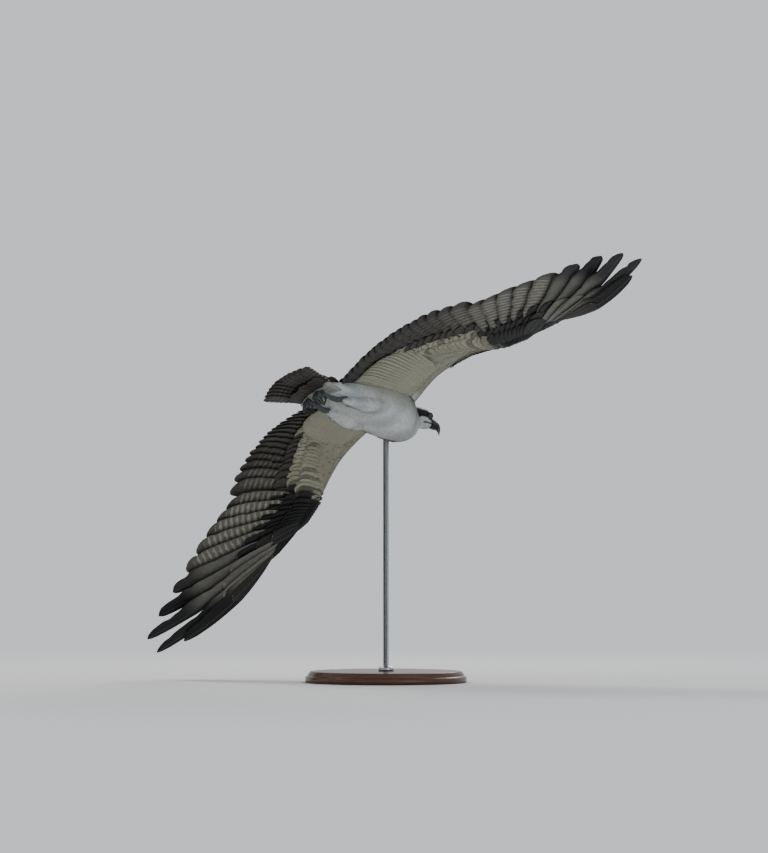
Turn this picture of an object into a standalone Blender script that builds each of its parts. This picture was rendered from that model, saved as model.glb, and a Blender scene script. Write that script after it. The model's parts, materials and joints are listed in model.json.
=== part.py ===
"""Osprey banking in flight on a plain display stand, a still life-size model.

The bird is modelled level in its own frame, +X towards the bill, +Y to its left
and +Z to its back, with the frame's origin midway between the leading edges of
the two wrists. One empty then turns and lifts it over the stand.
"""

import math
import random

import bmesh
import bpy
from mathutils import Matrix, Vector

# Joints between neighbouring pieces
GAP = 0.0003

# Attitude on the stand, in degrees, and the height of the wrists over the floor
HEADING = 53.0
NOSE_DOWN = 9.0
BANK_LEFT = 35.0
WRIST_HEIGHT = 0.54
ROD_TO_WRISTS = (0.059, 0.054)

# Stand
BASE_RADIUS = 0.17
BASE_THICKNESS = 0.024
BASE_EDGE_ROUND = 0.004
ROD_RADIUS = 0.006
COLLAR_RADIUS = 0.016
COLLAR_HEIGHT = 0.010

# Trunk stations: x, height of the axis, half width, height over and under the axis
TORSO_STATIONS = (
    (-0.285, 0.027, 0.040, 0.017, 0.019),
    (-0.245, 0.026, 0.046, 0.026, 0.030),
    (-0.200, 0.025, 0.049, 0.035, 0.040),
    (-0.150, 0.025, 0.056, 0.043, 0.050),
    (-0.100, 0.025, 0.059, 0.049, 0.061),
    (-0.055, 0.024, 0.055, 0.047, 0.068),
    (-0.024, 0.023, 0.0390, 0.038, 0.0580),
    (0.002, 0.023, 0.0225, 0.0265, 0.0385),
)
TORSO_SIDES = 20
NECK_SIDES = 20
NECK_LENGTH = 0.022

# Head: turned down and to the right, and rolled back towards level in the bank, in degrees
HEAD_PITCH = 30.0
HEAD_YAW = 13.0
HEAD_ROLL = 26.0
HEAD_AT = (0.0380, -0.0022, 0.0252)
# Head stations: distance along the head's axis, rise, half width, over, under
HEAD_STATIONS = (
    (-0.022, -0.001, 0.0235, 0.0205, 0.0225),
    (-0.012, 0.000, 0.0245, 0.0220, 0.0230),
    (0.000, 0.001, 0.0240, 0.0220, 0.0225),
    (0.010, 0.001, 0.0215, 0.0200, 0.0205),
    (0.018, 0.000, 0.0175, 0.0165, 0.0170),
    (0.0245, -0.0015, 0.0125, 0.0115, 0.0115),
)
EYE_RADIUS = 0.0085
EYE_AT = (0.0095, 0.0150, 0.0065)
LID_RADIUS = 0.0080
LID_THICKNESS = 0.0013

# Bill, in the head's axes from the end of the face
BILL_LENGTH = 0.0265
BILL_HOOK = 0.0125
CERE_HEIGHT = 0.0110
CERE_UNDER = 0.0095
CERE_HALF_WIDTH = 0.0100
NOSTRIL_RADIUS = 0.0013

# Wing bones, as points on the left side, and where the innermost quill is rooted
SHOULDER = (-0.041, 0.020, 0.048)
INNER_QUILL = (-0.128, 0.068, 0.060)
ELBOW = (-0.129, 0.134, 0.063)
FOREARM = (-0.081, 0.212, 0.042)
WRIST = (-0.022, 0.288, 0.008)
DIGIT_TIP = (-0.022, 0.420, -0.038)

# Leading edge of the left wing, from the trunk to the last finger
LEADING_EDGE = (
    (0.004, 0.020, 0.052),
    (0.008, 0.052, 0.058),
    (0.012, 0.103, 0.068),
    (0.007, 0.181, 0.055),
    (0.005, 0.230, 0.036),
    (0.000, 0.292, 0.000),
    (-0.002, 0.380, -0.028),
    (-0.012, 0.460, -0.049),
    (-0.052, 0.540, -0.083),
    (-0.097, 0.629, -0.114),
)
# Trailing edge of the arm, from the trunk to the wrist
TRAILING_EDGE = (
    (-0.296, 0.050, 0.029),
    (-0.291, 0.110, 0.041),
    (-0.279, 0.170, 0.050),
    (-0.264, 0.217, 0.0535),
    (-0.254, 0.266, 0.050),
    (-0.237, 0.319, 0.040),
    (-0.215, 0.366, 0.026),
)
# Arm quills, counted from the trunk: their number, how many stand on the upper arm,
# and how far the tips lie outward of the roots
ARM_QUILLS = 16
UPPER_ARM_QUILLS = 4
TIP_SHIFT_INNER = -0.012
TIP_SHIFT_WRIST = 0.068
TIP_SHIFT_FADE = 3.6
# Primaries from the innermost out: length from the bone and sweep from straight aft
PRIMARY_LENGTHS = (0.204, 0.210, 0.221, 0.236, 0.256, 0.286, 0.325, 0.354, 0.347, 0.275)
PRIMARY_SWEEPS = (24.0, 30.0, 36.5, 43.0, 49.5, 56.0, 60.5, 63.5, 69.0, 70.5)
QUILLS = ARM_QUILLS + len(PRIMARY_LENGTHS)
PRIMARY_DIP_FIRST = -3.5
PRIMARY_DIP_LAST = 17.0
PRIMARY_DIP_CURVE = 1.35
# How much higher each wing's hand and last finger lie than in a level wing
HAND_LIFT = {1: -0.004, -1: -0.001}
FINGER_LIFT = {1: 0.0, -1: 0.010}
# How far the leading edge of each hand is turned up, fading out over the chord
HAND_TWIST = {1: 0.0, -1: 0.013}
TWIST_CHORD = 0.17
# Where each of the outer five primaries narrows into its finger
FINGER_NOTCH = (0.86, 0.80, 0.72, 0.57, 0.50)

# Vanes: stations along the quill, with the width ahead of the shaft and behind it
VANE_THICKNESS = 0.0006
VANE_TILT = 6.5
# How much wider the inner primaries are than the quills of the arm, and over how many
# quills before the wrist the width grows
PRIMARY_WIDTH = 1.55
WIDTH_GROWTH = 5
FLIGHT_VANE = (
    (0.00, 0.0022, 0.0022),
    (0.35, 0.0105, 0.0200),
    (0.82, 0.0115, 0.0225),
    (0.95, 0.0095, 0.0185),
    (1.00, 0.0045, 0.0080),
)
COVERT_VANE = (
    (0.00, 0.0020, 0.0020),
    (0.45, 0.0105, 0.0150),
    (0.84, 0.0120, 0.0175),
    (1.00, 0.0040, 0.0060),
)
ALULA_VANE = (
    (0.00, 0.0020, 0.0020),
    (0.35, 0.0050, 0.0080),
    (0.80, 0.0045, 0.0080),
    (1.00, 0.0010, 0.0020),
)
# Rows of wing coverts: face (-1 under, 1 over), count, first and last quill that they
# cover, start and end along the quills, and height over the quills at start and end
COVERT_ROWS = (
    (-1, 14, 0.5, 24.3, 0.04, 0.42, 0.0030, 0.0056),
    (1, 14, 0.5, 24.3, 0.04, 0.40, 0.0030, 0.0050),
    (-1, 10, 1.2, 19.5, 0.00, 0.27, 0.0045, 0.0096),
    (1, 10, 1.2, 19.5, 0.00, 0.27, 0.0045, 0.0088),
)
# Thumb feathers: their number, how far out the first one ends and how much less each next
ALULA_QUILLS = 3
ALULA_LENGTH = 0.100
ALULA_SHORTER = 0.018
# Flesh of the wing: half thickness at the shoulder, elbow, wrist and digit tip
CORE_HALF = (0.019, 0.0135, 0.0105, 0.0040)

# Tail fan: roots, tips and how the feathers lie over one another
RECTRICES = 12
TAIL_ROOT_X = -0.305
TAIL_ROOT_HALF = 0.031
TAIL_ROOT_RISE = 0.027
TAIL_TIP_X = -0.458
TAIL_CORNER = (-0.440, 0.067, 0.027)
RECTRIX_STEP = 0.0010
RECTRIX_TILT = 2.5
RECTRIX_VANE = (
    (0.00, 0.0020, 0.0020),
    (0.20, 0.0060, 0.0080),
    (0.80, 0.0100, 0.0150),
    (0.95, 0.0085, 0.0125),
    (1.00, 0.0040, 0.0060),
)
# Rump stations behind the trunk: distance back, half width, height over and under
RUMP_STATIONS = (
    (0.000, 0.040, 0.017, 0.019),
    (0.022, 0.038, 0.012, 0.014),
    (0.042, 0.031, 0.006, 0.007),
    (0.058, 0.018, 0.0015, 0.0015),
)
# Tail coverts: face, count, half width at roots and tips, x of roots and tips, height
TAIL_COVERTS = (
    (-1, 7, 0.027, 0.037, -0.296, -0.385, 0.0075, 0.0055),
    (1, 7, 0.027, 0.035, -0.296, -0.365, 0.0075, 0.0055),
)
COVERT_STEP = 0.0030
COVERT_TILT = 2.5
WING_SEED = 11
TAIL_SEED = 5

# Legs, tucked back under the tail: knee, heel and ball of the foot on the left side
KNEE = (-0.165, 0.033, -0.012)
HEEL = (-0.292, 0.020, -0.002)
FOOT = (-0.350, 0.0145, 0.006)
THIGH_RADIUS = 0.018
THIGH_END = 0.88
SHANK_RADIUS = 0.0055
TOE_LENGTH = 0.026
TOE_RADIUS = 0.0040
CLAW_LENGTH = 0.020
CLAW_TURN = 75.0
# Toes: angle to the outside of straight back, and how far each folds under
TOES = ((-26.0, 105.0), (0.0, 112.0), (26.0, 105.0), (70.0, 120.0))

COLOURS = {
    "white_feather": (0.80, 0.80, 0.77),
    "dark_feather": (0.07, 0.055, 0.045),
    "horn": (0.02, 0.02, 0.022),
    "iris": (0.72, 0.50, 0.03),
    "leg_scale": (0.46, 0.50, 0.48),
    "rod_steel": (0.56, 0.57, 0.58),
    "base_wood": (0.20, 0.11, 0.06),
}


def clear_scene():
    for item in list(bpy.data.objects):
        bpy.data.objects.remove(item, do_unlink=True)


def material(name, roughness=0.7, metallic=0.0):
    found = bpy.data.materials.get(name)
    if found:
        return found
    made = bpy.data.materials.new(name)
    made.use_nodes = True
    shader = made.node_tree.nodes["Principled BSDF"]
    shader.inputs["Base Color"].default_value = (*COLOURS[name], 1.0)
    shader.inputs["Roughness"].default_value = roughness
    shader.inputs["Metallic"].default_value = metallic
    made.diffuse_color = (*COLOURS[name], 1.0)
    return made


def mesh_object(name, verts, faces, finish=None, parent=None):
    mesh = bpy.data.meshes.new(name)
    mesh.from_pydata([tuple(v) for v in verts], [], faces)
    mesh.update()
    made = bpy.data.objects.new(name, mesh)
    bpy.context.scene.collection.objects.link(made)
    if finish:
        mesh.materials.append(finish)
    made.parent = parent
    return made


def ring(centre, side, over, half_width, above, below, count):
    """Points of an egg-shaped section, round from its left side over its top."""
    points = []
    for i in range(count):
        angle = 2.0 * math.pi * i / count
        rise = above if math.sin(angle) >= 0.0 else below
        points.append(centre + side * (half_width * math.cos(angle)) + over * (rise * math.sin(angle)))
    return points


def loft(rings):
    """Closed body through rings of equal count, each end filled by a flat fan of faces."""
    count = len(rings[0])
    verts = [p for r in rings for p in r]
    faces = []
    for j in range(len(rings) - 1):
        for i in range(count):
            a = j * count + i
            b = j * count + (i + 1) % count
            faces.append((a, a + count, b + count, b))
    faces.append(tuple(range(count)))
    last = (len(rings) - 1) * count
    faces.append(tuple(last + i for i in reversed(range(count))))
    return orient(verts, faces)


def orient(verts, faces):
    """The same faces, turned so that the closed body they make has its outside out."""
    volume = 0.0
    for face in faces:
        a = Vector(verts[face[0]])
        for k in range(1, len(face) - 1):
            volume += a.dot(Vector(verts[face[k]]).cross(Vector(verts[face[k + 1]])))
    if volume < 0.0:
        faces = [tuple(reversed(f)) for f in faces]
    return verts, faces


def spline(points, t):
    """Point at t, from 0 to 1, on a smooth curve through the points."""
    points = [Vector(p) for p in points]
    last = len(points) - 1
    place = min(max(t, 0.0), 1.0) * last
    i = min(int(place), last - 1)
    u = place - i
    before = points[i - 1] if i > 0 else points[i] * 2.0 - points[i + 1]
    after = points[i + 2] if i + 2 <= last else points[i + 1] * 2.0 - points[i]
    a, b = points[i], points[i + 1]
    return 0.5 * (
        2.0 * a
        + (b - before) * u
        + (2.0 * before - 5.0 * a + 4.0 * b - after) * u**2
        + (3.0 * a - before - 3.0 * b + after) * u**3
    )


def at_span(points, span):
    """Point of a smooth curve where its distance from the trunk's plane is span."""
    low, high = 0.0, 1.0
    for _ in range(30):
        middle = 0.5 * (low + high)
        if spline(points, middle).y < span:
            low = middle
        else:
            high = middle
    return spline(points, 0.5 * (low + high))


def mirrored(verts, faces, side):
    if side > 0:
        return verts, faces
    flipped = [Vector((v[0], -v[1], v[2])) for v in verts]
    return flipped, [tuple(reversed(f)) for f in faces]


def bird_matrix():
    turn = (
        Matrix.Rotation(math.radians(HEADING), 4, "Z")
        @ Matrix.Rotation(math.radians(NOSE_DOWN), 4, "Y")
        @ Matrix.Rotation(math.radians(-BANK_LEFT), 4, "X")
    )
    place = Matrix.Translation((ROD_TO_WRISTS[0], ROD_TO_WRISTS[1], WRIST_HEIGHT))
    return place @ turn


def head_matrix():
    turn = (
        Matrix.Rotation(math.radians(-HEAD_YAW), 4, "Z")
        @ Matrix.Rotation(math.radians(HEAD_PITCH), 4, "Y")
        @ Matrix.Rotation(math.radians(HEAD_ROLL), 4, "X")
    )
    return Matrix.Translation(HEAD_AT) @ turn


def torso_rings(extra=0.0, ends=0.0):
    rings = []
    last = len(TORSO_STATIONS) - 1
    for k, (x, z, width, above, below) in enumerate(TORSO_STATIONS):
        shift = -ends if k == 0 else ends if k == last else 0.0
        centre = Vector((x + shift, 0.0, z))
        rings.append(
            ring(centre, Vector((0, 1, 0)), Vector((0, 0, 1)), width + extra, above + extra,
                 below + extra, TORSO_SIDES)
        )
    return rings


def head_ring(station, extra=0.0, shift=0.0):
    x, rise, width, above, below = station
    matrix = head_matrix()
    turn = matrix.to_3x3()
    centre = matrix @ Vector((x + shift, 0.0, rise))
    return ring(centre, turn @ Vector((0, 1, 0)), turn @ Vector((0, 0, 1)), width + extra,
                above + extra, below + extra, NECK_SIDES)


def largest_body(made):
    """Leave only the largest closed surface of an object's mesh."""
    work = bmesh.new()
    work.from_mesh(made.data)
    bmesh.ops.triangulate(work, faces=work.faces[:])
    bmesh.ops.dissolve_degenerate(work, dist=1e-6, edges=work.edges[:])
    bmesh.ops.triangulate(work, faces=work.faces[:])
    left = set(work.faces)
    bodies = []
    while left:
        start = left.pop()
        body = [start]
        waiting = [start]
        while waiting:
            for edge in waiting.pop().edges:
                for face in edge.link_faces:
                    if face in left:
                        left.discard(face)
                        body.append(face)
                        waiting.append(face)
        bodies.append(body)
    if len(bodies) > 1:
        bodies.sort(key=lambda b: sum(f.calc_area() for f in b))
        scraps = [f for b in bodies[:-1] for f in b]
        bmesh.ops.delete(work, geom=scraps, context="FACES")
        loose = [v for v in work.verts if not v.link_faces]
        bmesh.ops.delete(work, geom=loose, context="VERTS")
    work.to_mesh(made.data)
    work.free()


def apply_modifiers(made):
    depsgraph = bpy.context.evaluated_depsgraph_get()
    finished = bpy.data.meshes.new_from_object(made.evaluated_get(depsgraph))
    made.modifiers.clear()
    made.data = finished


def fuse(name, pieces, finish, parent):
    """One object from closed bodies that run into the first of them."""
    group = bpy.data.collections.new(name + "_pieces")
    bpy.context.scene.collection.children.link(group)
    core = mesh_object(name, *pieces[0], finish, parent)
    for k, (verts, faces) in enumerate(pieces[1:]):
        part = mesh_object(f"{name}_piece_{k}", verts, faces, finish, parent)
        bpy.context.scene.collection.objects.unlink(part)
        group.objects.link(part)
    bpy.context.view_layer.update()
    union = core.modifiers.new("union", "BOOLEAN")
    union.operation = "UNION"
    union.operand_type = "COLLECTION"
    union.collection = group
    union.solver = "EXACT"
    apply_modifiers(core)
    for part in list(group.objects):
        bpy.data.objects.remove(part, do_unlink=True)
    bpy.data.collections.remove(group)
    largest_body(core)
    return core


def cut(made, verts, faces, solver="EXACT"):
    """Take a closed body, given in the bird's frame, away from an object."""
    cutter = mesh_object(made.name + "_cutter", verts, faces, None, made.parent)
    cutter.hide_render = True
    cutter.display_type = "WIRE"
    bpy.context.view_layer.update()
    change = made.modifiers.new("cut", "BOOLEAN")
    change.operation = "DIFFERENCE"
    change.object = cutter
    change.solver = solver
    apply_modifiers(made)
    bpy.data.objects.remove(cutter, do_unlink=True)
    largest_body(made)


def ball(centre, radius, segments=16, rows=10, stretch=(1.0, 1.0, 1.0), turn=None):
    """Closed sphere, its poles along Z unless it is turned."""
    turn = turn or Matrix.Identity(3)
    verts = [Vector((0, 0, radius))]
    for j in range(1, rows):
        polar = math.pi * j / rows
        for i in range(segments):
            angle = 2.0 * math.pi * i / segments
            verts.append(
                Vector((math.sin(polar) * math.cos(angle), math.sin(polar) * math.sin(angle),
                        math.cos(polar))) * radius
            )
    verts.append(Vector((0, 0, -radius)))
    verts = [Vector(centre) + turn @ Vector([v[k] * stretch[k] for k in range(3)]) for v in verts]
    faces = []
    for i in range(segments):
        n = (i + 1) % segments
        faces.append((0, 1 + i, 1 + n))
        for j in range(rows - 2):
            a = 1 + j * segments
            faces.append((a + i, a + segments + i, a + segments + n, a + n))
        a = 1 + (rows - 2) * segments
        faces.append((a + i, len(verts) - 1, a + n))
    return orient(verts, faces)


def tube(points, radii, sides, flatten=1.0, across=None):
    """Closed round body along points, with a radius at each."""
    points = [Vector(p) for p in points]
    rings = []
    guide = Vector(across) if across else Vector((0, 1, 0))
    for k, (point, radius) in enumerate(zip(points, radii)):
        before = points[max(k - 1, 0)]
        after = points[min(k + 1, len(points) - 1)]
        along = (after - before).normalized()
        side = (guide - along * guide.dot(along)).normalized()
        over = along.cross(side)
        rings.append(ring(point, side, over, radius, radius * flatten, radius * flatten, sides))
    return loft(rings)


def build_torso(parent):
    verts, faces = loft(torso_rings())
    made = mesh_object("torso", verts, faces, material("white_feather"), parent)
    largest_body(made)
    made.data.shade_smooth()
    return made


def build_neck(parent):
    """Bridge from the front of the trunk to the back of the head."""
    start = torso_rings()[-1]
    start = [p + Vector((GAP, 0, 0)) for p in start]
    end = head_ring(HEAD_STATIONS[0], shift=-GAP)
    steps = 4
    rings = []
    start_centre = sum(start, Vector()) / len(start)
    end_centre = sum(end, Vector()) / len(end)
    lead = (head_matrix().to_3x3() @ Vector((1, 0, 0))) * NECK_LENGTH
    for k in range(steps + 1):
        u = k / steps
        ease = u * u * (3.0 - 2.0 * u)
        bend = (1 - u) ** 3 * start_centre
        bend += 3 * (1 - u) ** 2 * u * (start_centre + Vector((NECK_LENGTH * 0.4, 0, 0)))
        bend += 3 * (1 - u) * u**2 * (end_centre - lead * 0.4)
        bend += u**3 * end_centre
        ring_points = []
        for a, b in zip(start, end):
            offset = (a - start_centre) * (1 - ease) + (b - end_centre) * ease
            ring_points.append(bend + offset)
        rings.append(ring_points)
    verts, faces = loft(rings)
    made = mesh_object("neck", verts, faces, material("white_feather"), parent)
    largest_body(made)
    made.data.shade_smooth()
    return made


def build_head(parent):
    matrix = head_matrix()
    turn = matrix.to_3x3()
    rings = [head_ring(s) for s in HEAD_STATIONS]
    pieces = [loft(rings)]
    for side in (1, -1):
        eye = Vector((EYE_AT[0], EYE_AT[1] * side, EYE_AT[2]))
        out = Vector((0.10, side, 0.10)).normalized()
        pieces.append(lid_ring(matrix, eye + out * 0.0062, out))
    made = fuse("head", pieces, material("white_feather"), parent)
    for side in (1, -1):
        eye = matrix @ Vector((EYE_AT[0], EYE_AT[1] * side, EYE_AT[2]))
        cut(made, *ball(eye, EYE_RADIUS + GAP, 14, 8, turn=turn))
    made.data.shade_smooth()
    return made


def lid_ring(matrix, centre, out):
    """Raised rim of the lids round one eye, as a closed ring."""
    first = out.cross(Vector((0, 0, 1))).normalized()
    second = out.cross(first)
    around, across = 16, 6
    verts = []
    for i in range(around):
        angle = 2.0 * math.pi * i / around
        away = first * math.cos(angle) + second * (math.sin(angle) * 0.88)
        for j in range(across):
            turn = 2.0 * math.pi * j / across
            point = centre + away * (LID_RADIUS + LID_THICKNESS * math.cos(turn))
            verts.append(matrix @ (point + out * (LID_THICKNESS * 1.3 * math.sin(turn))))
    faces = []
    for i in range(around):
        for j in range(across):
            n = (i + 1) % around
            m = (j + 1) % across
            faces.append((i * across + j, n * across + j, n * across + m, i * across + m))
    return orient(verts, faces)


def build_eyes(parent):
    matrix = head_matrix()
    for name, side in (("eye_left", 1), ("eye_right", -1)):
        eye = matrix @ Vector((EYE_AT[0], EYE_AT[1] * side, EYE_AT[2]))
        verts, faces = ball(eye, EYE_RADIUS, 14, 8, turn=matrix.to_3x3())
        made = mesh_object(name, verts, faces, material("iris", 0.15), parent)
        made.data.shade_smooth()


def bill_rings(upper):
    """Sections of one half of the bill, from the face to its tip, in the head's axes."""
    face = HEAD_STATIONS[-1][0] + GAP
    rings = []
    steps = 9 if upper else 6
    sides = 8
    for k in range(steps + 1):
        u = k / steps
        reach = BILL_LENGTH if upper else BILL_LENGTH * 0.72
        x = face + reach * math.sin(u * math.pi * 0.5) ** (1.0 if upper else 0.9)
        width = CERE_HALF_WIDTH * (1.0 - u**1.3) ** 0.8 + 0.0006
        mouth = -0.0030 - 0.0010 * u
        if upper:
            drop = BILL_HOOK * max(0.0, (u - 0.30) / 0.70) ** 2.2
            crest = CERE_HEIGHT * (1.0 - u**1.8) ** 0.75 - drop * 1.3
            edge = mouth - drop
            crest = max(crest, edge + 0.0010)
        else:
            crest = mouth - 0.0004 - 0.0008 * u
            edge = mouth - CERE_UNDER * 0.62 * (1.0 - u**1.8) - 0.0008
        rings.append((x, width, crest, edge))
    return rings, sides


def build_bill(parent):
    matrix = head_matrix()
    for name, upper in (("bill_upper", True), ("bill_lower", False)):
        stations, sides = bill_rings(upper)
        rings = []
        for x, width, crest, edge in stations:
            points = []
            for i in range(sides + 1):
                angle = math.pi * i / sides
                y = width * math.cos(angle)
                lift = abs(math.sin(angle)) ** 0.8
                if upper:
                    z = edge + (crest - edge) * lift
                else:
                    z = crest + (edge - crest) * lift
                points.append(matrix @ Vector((x, y, z)))
            rings.append(points)
        verts, faces = loft(rings)
        made = mesh_object(name, verts, faces, material("horn", 0.3), parent)
        largest_body(made)
        if upper:
            x, width, crest, edge = stations[2]
            for side in (1, -1):
                hole = matrix @ Vector((x, side * width * 0.86, edge + (crest - edge) * 0.62))
                stretch = (2.0, 1.0, 0.9)
                cut(made, *ball(hole, NOSTRIL_RADIUS, 8, 6, stretch, matrix.to_3x3()))
        made.data.shade_smooth()


def arm_root(k):
    """Root of arm quill k, counted from the trunk."""
    bones = (INNER_QUILL, ELBOW, FOREARM, WRIST)
    if k < UPPER_ARM_QUILLS:
        return spline(bones, k / UPPER_ARM_QUILLS / 3.0)
    return spline(bones, (1.0 + 2.0 * (k - UPPER_ARM_QUILLS) / (ARM_QUILLS - UPPER_ARM_QUILLS)) / 3.0)


def arm_tip(k):
    fade = math.exp(-(ARM_QUILLS - 1 - k) / TIP_SHIFT_FADE)
    shift = TIP_SHIFT_INNER + (TIP_SHIFT_WRIST - TIP_SHIFT_INNER) * fade
    return at_span(TRAILING_EDGE, arm_root(k).y + shift)


def primary_root(k):
    return Vector(WRIST).lerp(Vector(DIGIT_TIP), 0.06 + 0.94 * k / (len(PRIMARY_LENGTHS) - 1))


def primary_tip(k):
    last = len(PRIMARY_LENGTHS) - 1
    sweep = math.radians(PRIMARY_SWEEPS[k])
    droop = (k / last) ** PRIMARY_DIP_CURVE
    dip = math.radians(PRIMARY_DIP_FIRST + (PRIMARY_DIP_LAST - PRIMARY_DIP_FIRST) * droop)
    flat = PRIMARY_LENGTHS[k] * math.cos(dip)
    reach = Vector((-flat * math.cos(sweep), flat * math.sin(sweep), -PRIMARY_LENGTHS[k] * math.sin(dip)))
    return primary_root(k) + reach


def quill_ends(k):
    """Root and tip of flight feather k of the wing, counted from the trunk."""
    if k < ARM_QUILLS:
        return arm_root(k), arm_tip(k)
    return primary_root(k - ARM_QUILLS), primary_tip(k - ARM_QUILLS)


class Fan:
    """The curved sheet that a row of quills spans, read at any place along the row."""

    def __init__(self, ends, arch, bow):
        self.ends = ends
        self.arch = arch
        self.bow = bow
        self.last = len(ends) - 1

    def straight(self, place, s):
        i = min(max(int(math.floor(place)), 0), self.last - 1)
        u = place - i
        first = self.ends[i][0].lerp(self.ends[i][1], s)
        second = self.ends[i + 1][0].lerp(self.ends[i + 1][1], s)
        return first.lerp(second, u)

    def frame(self, place, s):
        """Unit vectors along the quill, out to the next one, and to the dorsal side."""
        middle = min(max(place, 0.5), self.last - 0.5)
        along = (self.straight(place, 1.0) - self.straight(place, 0.0)).normalized()
        out = self.straight(middle + 0.5, s) - self.straight(middle - 0.5, s)
        out = (out - along * out.dot(along)).normalized()
        over = along.cross(out)
        if over.z < 0.0:
            over.negate()
        return along, out, over

    def point(self, place, s):
        length = (self.straight(place, 1.0) - self.straight(place, 0.0)).length
        along, out, over = self.frame(place, s)
        inside = min(max(s, 0.0), 1.0)
        wave = math.sin(math.pi * inside)
        return (self.straight(place, s) + over * (self.arch(place) * length * wave)
                + out * (self.bow(place) * length * wave))


def wing_fan():
    """Arm quills arch upwards; the outer primaries bow forwards and bend up at their ends."""
    hand = float(ARM_QUILLS)

    def arch(place):
        return 0.035 if place < hand else 0.035 - 0.045 * (place - hand) / (QUILLS - 1 - hand)

    def bow(place):
        return 0.0 if place < hand else 0.052 * (place - hand) / (QUILLS - 1 - hand)

    return Fan([quill_ends(k) for k in range(QUILLS)], arch, bow)


def vane(points, outs, overs, stations, tilt, thickness=VANE_THICKNESS):
    """Closed thin blade; its leading side, towards outs, is tipped up by tilt degrees."""
    verts = []
    faces = []
    lift = math.radians(tilt)
    last = len(stations) - 1
    for k, (s, lead, trail) in enumerate(stations):
        out = outs[k] * math.cos(lift) + overs[k] * math.sin(lift)
        over = overs[k] * math.cos(lift) - outs[k] * math.sin(lift)
        half = over * (0.5 * thickness * (0.6 if k == last else 1.0))
        front = points[k] + out * lead
        rear = points[k] - out * trail
        verts += [front + half, rear + half, rear - half, front - half]
    for k in range(last):
        a, b = 4 * k, 4 * k + 4
        faces += [(a, a + 1, b + 1), (a, b + 1, b)]
        faces += [(a + 3, b + 2, a + 2), (a + 3, b + 3, b + 2)]
        faces += [(a, b, b + 3), (a, b + 3, a + 3)]
        faces += [(a + 1, a + 2, b + 2), (a + 1, b + 2, b + 1)]
    end = 4 * last
    faces += [(0, 3, 2), (0, 2, 1)]
    faces += [(end, end + 1, end + 2), (end, end + 2, end + 3)]
    return orient(verts, faces)


def fan_vane(fan, place, stations, tilt, span=(0.0, 1.0), rise=(0.0, 0.0), stretch=1.0):
    """Vane on a fan at one place along it, from span[0] to span[1] of the quill there."""
    points, outs, overs = [], [], []
    for s, _, _ in stations:
        t = span[0] + (span[1] * stretch - span[0]) * s
        _, out, over = fan.frame(place, t)
        ease = 1.0 - (1.0 - s) ** 2
        points.append(fan.point(place, t) + over * (rise[0] + (rise[1] - rise[0]) * ease))
        outs.append(out)
        overs.append(over)
    return vane(points, outs, overs, stations, tilt)


def finger_vane(notch):
    """Stations of an outer primary, whose webs narrow beyond the notch."""
    return (
        (0.00, 0.0025, 0.0025),
        (0.16, 0.0060, 0.0130),
        (0.34, 0.0080, 0.0230),
        (notch - 0.03, 0.0090, 0.0285),
        (notch + 0.06, 0.0078, 0.0195),
        (0.93, 0.0068, 0.0150),
        (1.00, 0.0018, 0.0032),
    )


def core_half(place):
    """Half thickness of the flesh at a place along the row of quills."""
    marks = ((-3.0, CORE_HALF[0]), (float(UPPER_ARM_QUILLS), CORE_HALF[1]),
             (float(ARM_QUILLS), CORE_HALF[2]), (float(QUILLS), CORE_HALF[3]))
    for (a, first), (b, second) in zip(marks, marks[1:]):
        if place <= b:
            return first + (second - first) * max(place - a, 0.0) / (b - a)
    return CORE_HALF[3]


def wing_core(fan):
    """Flesh of the wing, from inside the trunk to the end of the hand."""
    sections = []
    for k in range(-3, QUILLS, 2):
        if k < 0:
            root = Vector(SHOULDER).lerp(arm_root(0), (k + 3) / 3.0)
            rear = root + Vector((-0.075 - 0.010 * (k + 3), 0.004, -0.004))
            over = Vector((0, 0, 1))
        else:
            root = fan.point(k, 0.0)
            rear = fan.point(k, 0.24)
            over = fan.frame(k, 0.0)[2]
        front = at_span(LEADING_EDGE, root.y)
        sections.append((front, root, rear, over, core_half(k)))
    tip = fan.point(QUILLS - 1, 0.10)
    front, root, rear, over, half = sections[-1]
    sections.append((tip + (front - root) * 0.45, tip, tip + (rear - root) * 0.4, over, half * 0.6))
    profile = ((0.0, 0.42), (0.06, 0.80), (0.25, 1.00), (0.60, 0.95), (0.80, 0.50), (1.0, 0.10))
    rings = []
    for front, root, rear, over, half in sections:
        top, bottom = [], []
        for c, h in profile:
            place = front.lerp(root, c / 0.6) if c < 0.6 else root.lerp(rear, (c - 0.6) / 0.4)
            top.append(place + over * (half * h))
            bottom.append(place - over * (half * h))
        rings.append(top + list(reversed(bottom)))
    return loft(rings)


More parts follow.
